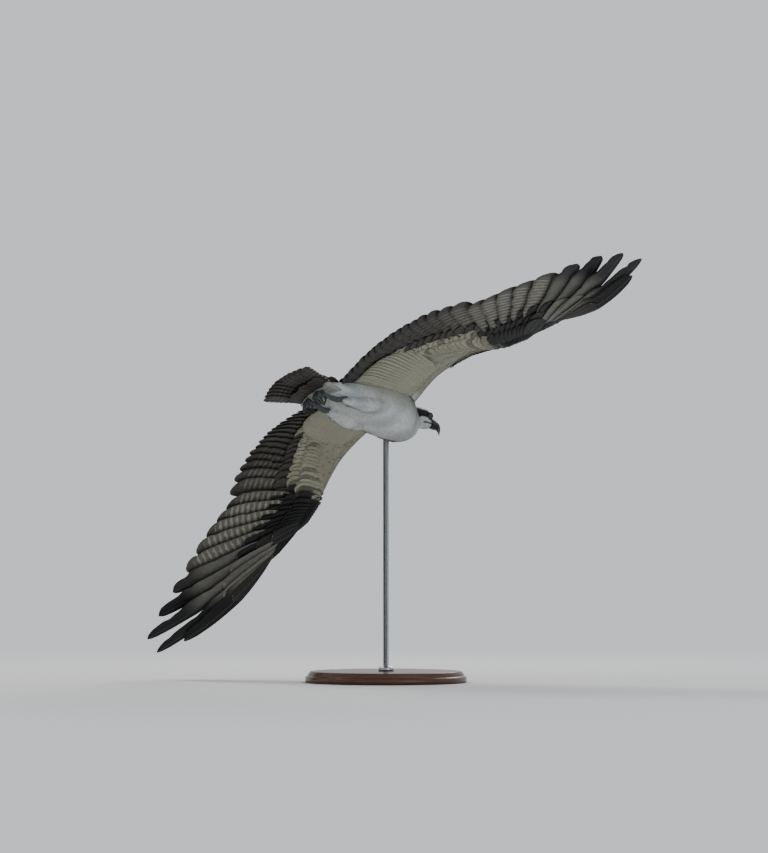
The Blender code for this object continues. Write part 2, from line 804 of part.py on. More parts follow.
def build_wing(name, side, parent):
    """Flesh, flight feathers, rows of coverts over and under them, and the alula."""
    draw = random.Random(WING_SEED + side)
    fan = wing_fan()
    pieces = [wing_core(fan)]
    for k in range(QUILLS):
        finger = k - (QUILLS - len(FINGER_NOTCH))
        stations = finger_vane(FINGER_NOTCH[finger]) if finger >= 0 else FLIGHT_VANE
        if k == 0:
            stations = tuple((s, lead, trail * 0.5) for s, lead, trail in stations)
        elif finger < 0:
            grown = ease_between(k, ARM_QUILLS - WIDTH_GROWTH, ARM_QUILLS + 1)
            wide = 1.0 + (PRIMARY_WIDTH - 1.0) * grown
            stations = tuple((s, lead * wide, trail * wide) for s, lead, trail in stations)
        pieces.append(fan_vane(fan, k, stations, VANE_TILT, stretch=1.0 + draw.uniform(-0.012, 0.012)))
    for face, count, first, last, start, end, low, high in COVERT_ROWS:
        for j in range(count):
            place = first + (last - first) * j / (count - 1)
            thin = core_half(place) / CORE_HALF[1]
            rise = (face * low * thin, face * high * (0.35 + 0.65 * min(thin, 1.0)))
            stretch = 1.0 + draw.uniform(-0.04, 0.04)
            pieces.append(fan_vane(fan, place, COVERT_VANE, VANE_TILT, (start, end), rise, stretch))
    for j in range(ALULA_QUILLS):
        pieces.append(alula_vane(fan, j))
    pieces = [mirrored(*lifted(verts, faces, side), side) for verts, faces in pieces]
    made = fuse(name, pieces, material("dark_feather"), parent)
    cut(made, *loft(torso_rings(GAP)))
    made.data.shade_smooth()
    return made


def ease_between(value, low, high):
    u = min(max((value - low) / (high - low), 0.0), 1.0)
    return u * u * (3.0 - 2.0 * u)


def lifted(verts, faces, side):
    """The same body, raised by the lift that its wing has at that distance from the trunk."""
    raised = []
    for v in verts:
        rise = HAND_LIFT[side] * ease_between(v[1], 0.15, 0.36)
        rise += FINGER_LIFT[side] * ease_between(v[1], 0.45, 0.72)
        ahead = min(max(1.0 + v[0] / TWIST_CHORD, 0.0), 1.0)
        rise += HAND_TWIST[side] * ahead * ease_between(v[1], 0.15, 0.36)
        raised.append(Vector((v[0], v[1], v[2] + rise)))
    return raised, faces


def alula_vane(fan, j):
    """One feather of the thumb, lying out along the leading edge over the hand."""
    start = at_span(LEADING_EDGE, WRIST[1] + 0.006) + Vector((-0.014 - 0.003 * j, 0.0, -0.001))
    reach = ALULA_LENGTH - ALULA_SHORTER * j
    end = at_span(LEADING_EDGE, WRIST[1] + reach) + Vector((-0.004 - 0.006 * j, 0, 0.0115 - 0.0018 * j))
    along = (end - start).normalized()
    over = fan.frame(ARM_QUILLS + 3, 0.0)[2]
    out = along.cross(over).normalized()
    if out.x < 0.0:
        out.negate()
    over = (over - along * over.dot(along)).normalized()
    points = [start.lerp(end, s) for s, _, _ in ALULA_VANE]
    count = len(points)
    return vane(points, [out] * count, [over] * count, ALULA_VANE, 3.0)


def tail_fan():
    """Quills of the tail from its left edge to its right one."""
    ends = []
    last = RECTRICES - 1
    for k in range(RECTRICES):
        u = 2.0 * k / last - 1.0
        root = Vector((TAIL_ROOT_X, -u * TAIL_ROOT_HALF, TAIL_ROOT_RISE))
        back = TAIL_TIP_X + (TAIL_CORNER[0] - TAIL_TIP_X) * abs(u) ** 2.2
        tip = Vector((back, -u * (TAIL_CORNER[1] - 0.010), TAIL_CORNER[2]))
        step = (last / 2.0 - abs(k - last / 2.0)) - last / 4.0
        layer = Vector((0, 0, RECTRIX_STEP * step))
        ends.append((root + layer, tip + layer))
    return ends


def build_tail(parent):
    """Rump, twelve flight feathers with the middle pair on top, and their coverts."""
    draw = random.Random(TAIL_SEED)
    start = TORSO_STATIONS[0]
    rings = []
    for back, width, above, below in RUMP_STATIONS:
        centre = Vector((start[0] - GAP - back, 0.0, start[1]))
        rings.append(ring(centre, Vector((0, 1, 0)), Vector((0, 0, 1)), width, above, below, TORSO_SIDES))
    pieces = [loft(rings)]
    ends = tail_fan()
    middle = (RECTRICES - 1) / 2.0
    for k, (root, tip) in enumerate(ends):
        side = 1.0 if k < middle else -1.0
        pieces.append(tail_vane(root, tip, side, RECTRIX_VANE, RECTRIX_TILT,
                                1.0 + draw.uniform(-0.008, 0.008), abs(k - middle) < 1.0))
    for face, count, half_root, half_tip, first, last, low, high in TAIL_COVERTS:
        for j in range(count):
            u = 2.0 * j / (count - 1) - 1.0
            side = 1.0 if u < 0.0 else -1.0
            layer = (1.0 - abs(u)) * COVERT_STEP * face
            root = Vector((first, -u * half_root, start[1] + face * low + layer))
            tip = Vector((last + 0.010 * abs(u), -u * half_tip, TAIL_CORNER[2] + face * high + layer))
            pieces.append(tail_vane(root, tip, side * face, COVERT_VANE, COVERT_TILT, 1.0, abs(u) < 0.01))
    made = fuse("tail", pieces, material("dark_feather"), parent)
    cut(made, *loft(torso_rings(GAP)))
    made.data.shade_smooth()
    return made


def tail_vane(root, tip, side, stations, tilt, stretch, middle=False):
    """Vane whose outer side, towards side, is the higher one."""
    tip = root.lerp(tip, stretch)
    along = (tip - root).normalized()
    over = Vector((0, 0, 1))
    out = over.cross(along) * side
    out = (out - along * out.dot(along)).normalized()
    if out.y * side < 0.0:
        out.negate()
    over = along.cross(out)
    if over.z < 0.0:
        over.negate()
    points = [root.lerp(tip, s) for s, _, _ in stations]
    if middle:
        inner = [abs(p.y) - GAP for p in points]
        stations = tuple((s, lead, min(trail, max(room, 0.001)))
                         for (s, lead, trail), room in zip(stations, inner))
    count = len(points)
    return vane(points, [out] * count, [over] * count, stations, tilt)


def build_thigh(name, side, parent):
    """Feathered thigh laid back along the belly."""
    knee, heel = Vector(KNEE), Vector(HEEL)
    along = (heel - knee).normalized()
    line = [knee - along * 0.030] + [knee.lerp(heel, s) for s in (0.0, 0.25, 0.50, 0.75, THIGH_END)]
    radii = (0.008, THIGH_RADIUS * 0.86, THIGH_RADIUS, THIGH_RADIUS * 0.82, THIGH_RADIUS * 0.60,
             SHANK_RADIUS * 1.12)
    verts, faces = mirrored(*tube(line, radii, 12), side)
    made = mesh_object(name, verts, faces, material("white_feather"), parent)
    cut(made, *loft(torso_rings(GAP)))
    made.data.shade_smooth()
    return made


def curl(start, along, bend, length, turn, steps):
    """Points of an arc that leaves start along a direction and turns towards bend."""
    points = [Vector(start)]
    for k in range(steps):
        angle = math.radians(turn) * (k + 0.5) / steps
        direction = along * math.cos(angle) + bend * math.sin(angle)
        points.append(points[-1] + direction * (length / steps))
    return points


def build_foot(name, side, parent):
    """Bare shank and closed foot: four toes folded under, each with its long claw."""
    knee, heel, foot = Vector(KNEE), Vector(HEEL), Vector(FOOT)
    start = knee.lerp(heel, THIGH_END) + (heel - knee).normalized() * GAP
    along = (foot - heel).normalized()
    shank = tube((start, heel, heel.lerp(foot, 0.5), foot, foot + along * 0.006),
                 (SHANK_RADIUS, SHANK_RADIUS * 1.1, SHANK_RADIUS * 0.9, SHANK_RADIUS * 1.15,
                  SHANK_RADIUS * 0.7), 10)
    pieces = [shank]
    down = Vector((0, 0, -1))
    for j, (aside, turn) in enumerate(TOES):
        out = Vector((0, 1, 0)) * math.sin(math.radians(aside))
        ahead = (along * math.cos(math.radians(aside)) + out).normalized()
        base = foot - along * 0.002 + out * 0.004
        toe = curl(base, ahead, down, TOE_LENGTH, turn, 4)
        radii = [TOE_RADIUS * r for r in (1.0, 1.05, 1.0, 0.95, 0.80)]
        pieces.append(tube(toe, radii, 6, across=ahead.cross(down)))
        last = (toe[-1] - toe[-2]).normalized()
        hook = (down - last * last.dot(down)).normalized() if abs(last.z) < 0.98 else -ahead
        if turn > 85.0:
            hook = -ahead
        claw = curl(toe[-1] - last * 0.003, last, hook, CLAW_LENGTH, CLAW_TURN, 4)
        pieces.append(tube(claw, (0.0027, 0.0026, 0.0021, 0.0014, 0.0004), 5, across=ahead.cross(down)))
    pieces = [mirrored(verts, faces, side) for verts, faces in pieces]
    made = fuse(name, pieces, material("leg_scale"), parent)
    made.data.shade_smooth()
    return made


def build_stand(parent):
    """Turned wooden disc with one steel rod up to the breast."""
    profile = [(BASE_RADIUS, 0.0), (BASE_RADIUS, BASE_THICKNESS - BASE_EDGE_ROUND)]
    for k in range(1, 5):
        angle = 0.5 * math.pi * k / 4
        profile.append((BASE_RADIUS - BASE_EDGE_ROUND * (1 - math.cos(angle)),
                        BASE_THICKNESS - BASE_EDGE_ROUND * (1 - math.sin(angle))))
    rings = [ring(Vector((0, 0, z)), Vector((1, 0, 0)), Vector((0, 1, 0)), r, r, r, 40)
             for r, z in profile]
    base = mesh_object("stand_base", *loft(rings), material("base_wood", 0.45))
    largest_body(base)
    low = BASE_THICKNESS + GAP
    levels = ((COLLAR_RADIUS, low), (COLLAR_RADIUS, low + COLLAR_HEIGHT * 0.7),
              (COLLAR_RADIUS * 0.8, low + COLLAR_HEIGHT), (ROD_RADIUS, low + COLLAR_HEIGHT + 0.001),
              (ROD_RADIUS, WRIST_HEIGHT))
    rings = [ring(Vector((0, 0, z)), Vector((1, 0, 0)), Vector((0, 1, 0)), r, r, r, 24)
             for r, z in levels]
    rod = mesh_object("stand_rod", *loft(rings), material("rod_steel", 0.25, 1.0))
    verts, faces = loft(torso_rings(GAP))
    place = bird_matrix()
    cut(rod, [place @ v for v in verts], faces)
    base.data.set_sharp_from_angle(angle=math.radians(40))
    rod.data.set_sharp_from_angle(angle=math.radians(40))


def main():
    clear_scene()
    bird = bpy.data.objects.new("bird", None)
    bpy.context.scene.collection.objects.link(bird)
    bird.matrix_world = bird_matrix()
    bpy.context.view_layer.update()
    build_torso(bird)
    build_neck(bird)
    build_head(bird)
    build_eyes(bird)
    build_bill(bird)
    for name, side in (("wing_left", 1), ("wing_right", -1)):
        build_wing(name, side, bird)
    build_tail(bird)
    for name, side in (("left", 1), ("right", -1)):
        build_thigh("thigh_" + name, side, bird)
        build_foot("foot_" + name, side, bird)
    build_stand(bird)


main()
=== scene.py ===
"""Looks of a life-size osprey in banking flight, held over a wooden base by one steel rod.

The bird is worked out level in its own frame, +X towards the bill, +Y to its left and
+Z to its back, with the origin midway between the leading edges of the two wrists.
BIRD then turns and lifts every piece over the stand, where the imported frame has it.
"""

import json
import math
import random
from contextlib import contextmanager
from functools import partial

import bmesh
import bpy
import numpy as np
from mathutils import Matrix, Vector

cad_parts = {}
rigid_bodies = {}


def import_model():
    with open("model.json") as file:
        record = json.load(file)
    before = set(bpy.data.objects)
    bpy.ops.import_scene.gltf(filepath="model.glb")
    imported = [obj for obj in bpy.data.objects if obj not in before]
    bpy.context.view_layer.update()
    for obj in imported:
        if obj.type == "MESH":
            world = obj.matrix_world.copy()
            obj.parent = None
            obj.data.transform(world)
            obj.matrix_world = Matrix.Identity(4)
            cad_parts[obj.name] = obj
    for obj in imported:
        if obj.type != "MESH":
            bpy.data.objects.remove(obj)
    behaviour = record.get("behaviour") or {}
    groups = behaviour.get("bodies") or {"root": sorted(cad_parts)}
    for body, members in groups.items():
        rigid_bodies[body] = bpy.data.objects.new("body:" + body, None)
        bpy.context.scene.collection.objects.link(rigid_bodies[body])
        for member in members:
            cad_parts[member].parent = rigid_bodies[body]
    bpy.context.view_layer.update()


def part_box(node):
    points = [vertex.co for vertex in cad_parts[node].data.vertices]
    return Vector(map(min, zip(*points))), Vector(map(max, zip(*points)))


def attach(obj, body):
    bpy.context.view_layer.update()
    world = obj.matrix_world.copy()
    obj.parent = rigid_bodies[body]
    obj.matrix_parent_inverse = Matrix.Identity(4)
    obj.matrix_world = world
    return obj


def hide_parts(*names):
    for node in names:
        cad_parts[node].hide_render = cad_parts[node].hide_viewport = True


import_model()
STAND_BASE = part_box("stand_base")
STAND_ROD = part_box("stand_rod")

bl_info = {
    "name": "Osprey in flight on a stand",
    "version": (1, 0, 0),
    "blender": (4, 5, 0),
    "location": "View3D > Sidebar > Osprey",
    "description": "Builds the skin, feathers, head, feet, stand and stage of a flying osprey",
    "category": "Add Mesh",
}

MM = 0.001

# Attitude on the stand, in degrees, and the place of the wrists
HEADING = 53.0
NOSE_DOWN = 9.0
BANK_LEFT = 35.0
WRISTS_AT = (0.059, 0.054, 0.54)

# Trunk stations: x, height of the axis, half width, height over and under the axis
RUMP_STATIONS = (
    (-0.343, 0.027, 0.018, 0.0030, 0.0030),
    (-0.327, 0.027, 0.031, 0.0070, 0.0080),
    (-0.307, 0.027, 0.037, 0.0120, 0.0140),
)
TORSO_STATIONS = (
    (-0.285, 0.027, 0.040, 0.017, 0.019),
    (-0.245, 0.026, 0.046, 0.026, 0.030),
    (-0.200, 0.025, 0.049, 0.035, 0.040),
    (-0.150, 0.025, 0.056, 0.043, 0.050),
    (-0.100, 0.025, 0.059, 0.049, 0.061),
    (-0.055, 0.024, 0.055, 0.047, 0.068),
    (-0.024, 0.023, 0.0390, 0.038, 0.0580),
    (0.002, 0.023, 0.0225, 0.0265, 0.0385),
)
# Head: turned down and to the right, and rolled back towards level in the bank, in degrees
HEAD_PITCH = 30.0
HEAD_YAW = 13.0
HEAD_ROLL = 26.0
HEAD_AT = (0.0380, -0.0022, 0.0252)
# Head stations: distance along the head's axis, rise, half width, over, under
HEAD_STATIONS = (
    (-0.022, -0.001, 0.0235, 0.0205, 0.0225),
    (-0.012, 0.000, 0.0245, 0.0225, 0.0230),
    (0.000, 0.001, 0.0243, 0.0230, 0.0225),
    (0.010, 0.001, 0.0220, 0.0215, 0.0205),
    (0.018, 0.000, 0.0180, 0.0180, 0.0170),
    (0.0245, -0.0015, 0.0125, 0.0115, 0.0115),
)
NECK_REACH = 0.022
EYE_AT = (0.0095, 0.0150, 0.0065)
EYE_OUT = (0.10, 1.0, 0.10)
CERE_UNDER = 0.0095
# Line of the mouth on the face: where it meets the bill, its height there, and its fall
# towards the nape
MOUTH_FRONT = 0.0245
MOUTH_LINE = -0.0034
MOUTH_SLOPE = 0.36

# Coat depth left between the skin and the solids' surface, and the size of the skin's faces
COAT_DEPTH = 0.0024
HEAD_COAT_DEPTH = 0.0013
SKIN_VOXEL = 0.0024
LEG_VOXEL = 0.0007
# Where the coat of the wing starts, out from the trunk's plane, and that of the head, along its axis
WING_COAT_FROM = 0.054
HEAD_COAT_FROM = -0.019

# Wing bones, as points on the left side, and where the innermost quill is rooted
SHOULDER = (-0.041, 0.020, 0.048)
INNER_QUILL = (-0.128, 0.068, 0.060)
ELBOW = (-0.129, 0.134, 0.063)
FOREARM = (-0.081, 0.212, 0.042)
WRIST = (-0.022, 0.288, 0.008)
DIGIT_TIP = (-0.022, 0.420, -0.038)
LEADING_EDGE = (
    (0.004, 0.020, 0.052),
    (0.008, 0.052, 0.058),
    (0.012, 0.103, 0.068),
    (0.007, 0.181, 0.055),
    (0.005, 0.230, 0.036),
    (0.000, 0.292, 0.000),
    (-0.002, 0.380, -0.028),
    (-0.012, 0.460, -0.049),
    (-0.052, 0.540, -0.083),
    (-0.097, 0.629, -0.114),
)
TRAILING_EDGE = (
    (-0.296, 0.050, 0.029),
    (-0.291, 0.110, 0.041),
    (-0.279, 0.170, 0.050),
    (-0.264, 0.217, 0.0535),
    (-0.254, 0.266, 0.050),
    (-0.237, 0.319, 0.040),
    (-0.215, 0.366, 0.026),
)
# Flight feathers on the arm, of which the first are on the upper arm
ARM_QUILLS = 16
UPPER_ARM_QUILLS = 4
# How much farther out the tips of the arm quills lie than their roots, near the trunk and at
# the wrist, and over how many quills that changes
TIP_SHIFT_INNER = -0.012
TIP_SHIFT_WRIST = 0.068
TIP_SHIFT_FADE = 3.6
# Primaries from the wrist out: lengths, angles out from straight back, and dips in degrees
PRIMARY_LENGTHS = (0.204, 0.210, 0.221, 0.236, 0.256, 0.286, 0.325, 0.354, 0.347, 0.275)
PRIMARY_SWEEPS = (24.0, 30.0, 36.5, 43.0, 49.5, 56.0, 60.5, 63.5, 69.0, 70.5)
QUILLS = ARM_QUILLS + len(PRIMARY_LENGTHS)
PRIMARY_DIP_FIRST = -3.5
PRIMARY_DIP_LAST = 17.0
PRIMARY_DIP_CURVE = 1.35
# Where the trailing web of each finger narrows, as a share of its length
FINGER_NOTCH = (0.86, 0.80, 0.72, 0.57, 0.50)
# Feathers of the thumb, and points along each
THUMB_FEATHERS = 4
THUMB_ROWS = 14
# How much higher each wing's hand and last finger lie, and how its leading edge turns up
HAND_LIFT = {1: -0.004, -1: -0.001}
FINGER_LIFT = {1: 0.0, -1: 0.010}
HAND_TWIST = {1: 0.0, -1: 0.013}
TWIST_CHORD = 0.17
# Half thickness of the wing's flesh at the shoulder, elbow, wrist and last quill
CORE_HALF = (0.019, 0.0135, 0.0105, 0.0040)

# Joints of the left leg, its thicknesses, the shares of the thigh that have flesh and that the
# shank runs through, and how deep in the belly the shank is rooted
KNEE = (-0.165, 0.033, -0.012)
HEEL = (-0.292, 0.020, -0.002)
FOOT = (-0.350, 0.0145, 0.006)
THIGH_RADIUS = 0.018
THIGH_END = 0.88
SHANK_OVERLAP = 0.14
SHANK_RADIUS = 0.0055
SHANK_ROOT_SINK = 0.012
# Toes: angle from the shank's line and how far each curls, in degrees
TOES = ((-26.0, 105.0), (0.0, 112.0), (26.0, 105.0), (70.0, 120.0))

# Small feathers: outline, as share of the length and half width as a share of the width, number
# of shapes, thickness as a share of the length, and size of a feather's patch on the UV map
FEATHER_ROWS = ((0.0, 0.06), (0.25, 0.33), (0.55, 0.50), (0.80, 0.45), (0.93, 0.27), (1.0, 0.06))
FEATHER_SHAPES = 5
FEATHER_THICK = 0.014
UV_PATCH = 0.003
# Tracts of the coat: name, spacing, length and width in millimetres, lift and spread in
# degrees, and the record's slot
TRACTS = (
    ("head", 0.95, 4.6, 2.0, 4.5, 8.0, "white_feather"),
    ("neck", 1.45, 8.5, 3.8, 4.5, 8.0, "white_feather"),
    ("breast", 2.00, 15.0, 6.2, 3.6, 7.0, "white_feather"),
    ("back", 2.30, 18.0, 8.0, 4.0, 6.0, "dark_feather"),
    ("wing_under_left", 2.05, 13.0, 6.0, 3.8, 7.0, "dark_feather"),
    ("wing_under_right", 2.05, 13.0, 6.0, 3.8, 7.0, "dark_feather"),
    ("wing_over_left", 2.15, 13.0, 6.8, 4.2, 6.0, "dark_feather"),
    ("wing_over_right", 2.15, 13.0, 6.8, 4.2, 6.0, "dark_feather"),
)

# Inputs of the tree that sets the coat: name, kind and default
COAT_INPUTS = (
    ("Geometry", "NodeSocketGeometry", None),
    ("Feathers", "NodeSocketCollection", None),
    ("Tract", "NodeSocketString", ""),
    ("Spacing", "NodeSocketFloat", 4.0 * MM),
    ("Length", "NodeSocketFloat", 16.0 * MM),
    ("Width", "NodeSocketFloat", 10.0 * MM),
    ("Lift", "NodeSocketFloat", math.radians(9.0)),
    ("Spread", "NodeSocketFloat", math.radians(8.0)),
    ("Patch", "NodeSocketFloat", UV_PATCH),
    ("Material", "NodeSocketMaterial", None),
    ("Seed", "NodeSocketInt", 1),
)

# Width and length of the largest vane, which set the size of a feather's strip on its UV map,
# and how many times as long as wide a strip is there
VANE_ROOM = (0.070, 0.40)
STRIP_ASPECT = 4.0
# Places across a vane, as shares of its width: -1 trailing edge, 1 leading edge
ACROSS = (-1.0, -0.72, -0.42, -0.16, 0.0, 0.22, 0.55, 1.0)
# Column of points that stands up as the shaft's ridge, at the trailing edge of the shaft
RIDGE_COLUMN = 4
# Vane stations: share of the length, width ahead of the shaft and behind it
QUILL_STATIONS = (
    (0.00, 0.0018, 0.0018), (0.12, 0.0050, 0.0080), (0.35, 0.0100, 0.0195), (0.70, 0.0115, 0.0225),
    (0.88, 0.0110, 0.0210), (0.95, 0.0090, 0.0165), (0.985, 0.0060, 0.0100), (1.00, 0.0020, 0.0035),
)
# How much wider the inner primaries are, and over how many arm quills that grows
PRIMARY_WIDTH = 1.72
WIDTH_GROWTH = 5
COVERT_STATIONS = (
    (0.00, 0.0020, 0.0020), (0.25, 0.0060, 0.0080), (0.60, 0.0095, 0.0130), (0.85, 0.0095, 0.0135),
    (0.94, 0.0075, 0.0105), (1.00, 0.0020, 0.0030),
)

# Rows of coverts: face, count, first and last quill, start and end along the quill, rise
# at start and end in millimetres, and rows of points
COVERT_TIERS = (
    (-1, 27, 0.3, 24.6, 0.03, 0.47, 2.2, 5.2, 16),
    (-1, 31, 0.2, 20.5, -0.02, 0.33, 3.4, 7.4, 14),
    (-1, 34, 0.2, 20.5, -0.14, 0.21, 5.2, 9.0, 12),
    (1, 27, 0.3, 24.6, 0.03, 0.42, 2.2, 4.8, 16),
    (1, 31, 0.4, 21.5, -0.02, 0.28, 3.4, 7.0, 14),
    (1, 34, 0.4, 20.5, -0.12, 0.17, 5.0, 8.6, 12),
)

# Tail fan: quill roots and tips, and how the feathers lie over one another
RECTRICES = 12
TAIL_ROOT_X = -0.305
TAIL_ROOT_HALF = 0.031
TAIL_ROOT_RISE = 0.027
TAIL_TIP_X = -0.458
TAIL_CORNER = (-0.440, 0.067, 0.027)
RECTRIX_STEP = 0.0010
RECTRIX_STATIONS = (
    (0.00, 0.0020, 0.0020), (0.20, 0.0060, 0.0085), (0.60, 0.0088, 0.0135), (0.85, 0.0098, 0.0148),
    (0.94, 0.0088, 0.0132), (0.98, 0.0060, 0.0085), (1.00, 0.0025, 0.0040),
)
# Rows of tail coverts: face, roots' and tips' x, height over the fan at root and tip in
# millimetres, and the plumage's colours of vane and rim
TAIL_TIERS = (
    # The rows under the tail are grey and dark brown, as painted shade under its root; the real feathers
    # there are white
    (-1, -0.290, -0.392, 7.5, 5.5, "band", "quill_under_bar"),
    (-1, -0.268, -0.352, 11.0, 8.5, "vent", "band"),
    (1, -0.292, -0.370, 7.5, 5.5, "deep_brown", "pale_edge"),
    (1, -0.270, -0.338, 11.0, 8.0, "brown", "pale_edge"),
)
TAIL_TIER_FEATHERS = 13

# Long soft feathers in a row of the armpit, under the wing beside the trunk, and of the shoulder
AXILLARIES = 15
SCAPULARS = 16

# Camera's x and z, height of the photo in pixels and its pixels to a metre at the bird, and the
# camera's sensor in millimetres
CAMERA_AT = (-0.0042, 0.5394)
PHOTO_HIGH = 853.0
PIXELS_PER_METRE = 472.8
SENSOR = 36.0
CLIP_END = 100.0
# Radius of the floor, where its fade starts and ends, and the height that the lamps shine at
FLOOR_RADIUS = 40.0
FLOOR_FADE = (0.7, 2.6)
LAMPS_AIM = 0.45

SIDES = {"left": 1, "right": -1}


def smoothstep(value, low, high):
    u = np.clip((value - low) / (high - low), 0.0, 1.0)
    return u * u * (3.0 - 2.0 * u)


def bird_matrix():
    turn = (
        Matrix.Rotation(math.radians(HEADING), 4, "Z")
        @ Matrix.Rotation(math.radians(NOSE_DOWN), 4, "Y")
        @ Matrix.Rotation(math.radians(-BANK_LEFT), 4, "X")
    )
    return Matrix.Translation(WRISTS_AT) @ turn


def head_matrix():
    turn = (
        Matrix.Rotation(math.radians(-HEAD_YAW), 4, "Z")
        @ Matrix.Rotation(math.radians(HEAD_PITCH), 4, "Y")
        @ Matrix.Rotation(math.radians(HEAD_ROLL), 4, "X")
    )
    return Matrix.Translation(HEAD_AT) @ turn


BIRD = bird_matrix()
HEAD = head_matrix()


# Settings that a user would change


def srgb(code):
    """Linear red, green and blue from a hex colour."""
    values = [int(code[i:i + 2], 16) / 255.0 for i in (0, 2, 4)]
    return tuple(v / 12.92 if v <= 0.04045 else ((v + 0.055) / 1.055) ** 2.4 for v in values)


def colour_setting(code, name, description):
    return bpy.props.FloatVectorProperty(
        name=name, description=description, subtype="COLOR", size=3, min=0.0, max=1.0, default=srgb(code))


def length_setting(metres, name, description):
    return bpy.props.FloatProperty(
        name=name, description=description, subtype="DISTANCE", unit="LENGTH", min=0.0001, precision=4,
        default=metres)


def share_setting(share, name, description):
    return bpy.props.FloatProperty(
        name=name, description=description, subtype="FACTOR", min=0.0, max=2.0, default=share)


def angle_setting(degrees, name, description):
    return bpy.props.FloatProperty(
        name=name, description=description, subtype="ANGLE", unit="ROTATION", default=math.radians(degrees))


def power_setting(watts, name, description):
    return bpy.props.FloatProperty(
        name=name, description=description, subtype="POWER", unit="POWER", min=0.0, default=watts)


class PlumageSettings(bpy.types.PropertyGroup):
    """Colours of the plumage."""

    white: colour_setting("D5D6D2", "White", "Head, neck, breast and belly")
    white_shade: colour_setting("B0B4B1", "Shaded white", "Softer patches of the white plumage")
    # The lining's olive greys are darker than the real white lining, as painted shade under the wing
    lining: colour_setting("999680", "Wing lining", "Under side of the arm, an olive white")
    lining_pale: colour_setting("A9A797", "Pale lining", "Lighter feathers of the wing lining")
    band: colour_setting("3D3933", "Under band", "Dark coverts behind the wing lining")
    brown: colour_setting("3A2E25", "Brown", "Back and upper side of the wings")
    deep_brown: colour_setting("241C17", "Deep brown", "Darker patches of the upper side")
    pale_edge: colour_setting("7C6D5B", "Pale edges", "Worn edges of the upper side's feathers")
    mask: colour_setting("17120F", "Mask", "Stripe through the eye to the nape")
    streak: colour_setting("40382F", "Streaks", "Streaks of the crown, nape and lining")
    carpal: colour_setting("0E0D0E", "Carpal patch", "Black patch and fingers under the hand")
    quill_top: colour_setting("221C18", "Arm quills above", "Upper side of the arm's flight feathers")
    quill_under: colour_setting("322E29", "Arm quills below", "Under side of the arm's flight feathers")
    quill_top_bar: colour_setting("3B3027", "Arm bars above", "Bars of the arm's quills on top")
    quill_under_bar: colour_setting("5C594E", "Arm bars below", "Bars of the arm's quills underneath")
    hand_top: colour_setting("1C1815", "Hand quills above", "Upper side of the inner primaries")
    hand_under: colour_setting("6A675E", "Hand quills below", "Under side of the inner primaries")
    hand_top_bar: colour_setting("332A23", "Hand bars above", "Bars of the inner primaries on top")
    hand_under_bar: colour_setting("97958A", "Hand bars below", "Bars of the inner primaries underneath")
    finger_top: colour_setting("141110", "Fingers above", "Upper side of the outer primaries")
    finger_base: colour_setting("74726A", "Finger bases", "Grey window at the fingers' bases")
    worn_tip: colour_setting("7A7568", "Worn tips", "Thin pale ends of the flight feathers")
    shaft: colour_setting("6E6354", "Shafts", "Shafts of the flight feathers")
    tail_top: colour_setting("2B221C", "Tail above", "Upper side of the tail")
    tail_under: colour_setting("332E29", "Tail below", "Under side of the tail")
    tail_top_bar: colour_setting("54463A", "Tail bars above", "Bars of the tail on top")
    tail_under_bar: colour_setting("5A554C", "Tail bars below", "Bars of the tail underneath")
    tail_tip: colour_setting("BDB9AC", "Tail tip", "Thin pale end of the tail")
    # Pale spots on the outer edges of the tail are painted light shining through the thin vane
    tail_spot: colour_setting("C9C6BB", "Tail spots", "White spots of the tail's outer edges")
    # Grey as painted shade under the tail's root, where the real feathers are white
    vent: colour_setting("A9A9A2", "Vent", "Soft feathers under the root of the tail")


class FeatherSettings(bpy.types.PropertyGroup):
    """Sizes of the small and long feathers."""

    spacing: share_setting(1.0, "Spacing", "Gaps between the roots of small feathers, as a share")
    length: share_setting(1.0, "Length", "Length of the small feathers, as a share")
    lift: share_setting(1.0, "Lift", "How far the small feathers stand off the skin, as a share")
    softness: share_setting(0.66, "Softness", "How far a feather's light follows the coat, not its own vane")
    bar_pitch: length_setting(0.015, "Bar pitch", "Distance between the bars of a flight feather")
    vane_tilt: angle_setting(6.5, "Vane tilt", "How far each flight feather tilts over the next")
    shaft_half: length_setting(0.0009, "Shaft radius", "Half width of a flight feather's shaft")
    vane_thick: length_setting(0.00032, "Vane thickness", "Thickness of a long feather's vane")


class HeadSettings(bpy.types.PropertyGroup):
    """Sizes and colours of the eyes and the bill."""

    eye_radius: length_setting(0.0085, "Eye radius", "Radius of the eyeball")
    pupil_radius: length_setting(0.0036, "Pupil radius", "Radius of the pupil along the eyeball")
    lid_radius: length_setting(0.0064, "Lid opening", "Radius of the rim of the lids")
    bill_length: length_setting(0.0265, "Bill length", "From the face to the bend of the hook")
    bill_hook: length_setting(0.0125, "Hook drop", "How far the hook comes down")
    cere_height: length_setting(0.0110, "Bill height", "Height of the bill over its axis at the face")
    cere_half_width: length_setting(0.0100, "Bill half width", "Half width of the bill at the face")
    # The iris is darker than the real bright yellow, as painted shade under the brow
    iris_dark: colour_setting("463A12", "Iris, dark", "Darker spokes of the iris")
    iris_light: colour_setting("786724", "Iris, light", "Lighter spokes of the iris")
    bill: colour_setting("16161A", "Bill", "Black horn of the bill")
    cere: colour_setting("3A4147", "Cere", "Bare skin at the root of the bill")
    lid: colour_setting("1B1A1B", "Lids", "Bare rims of the lids")


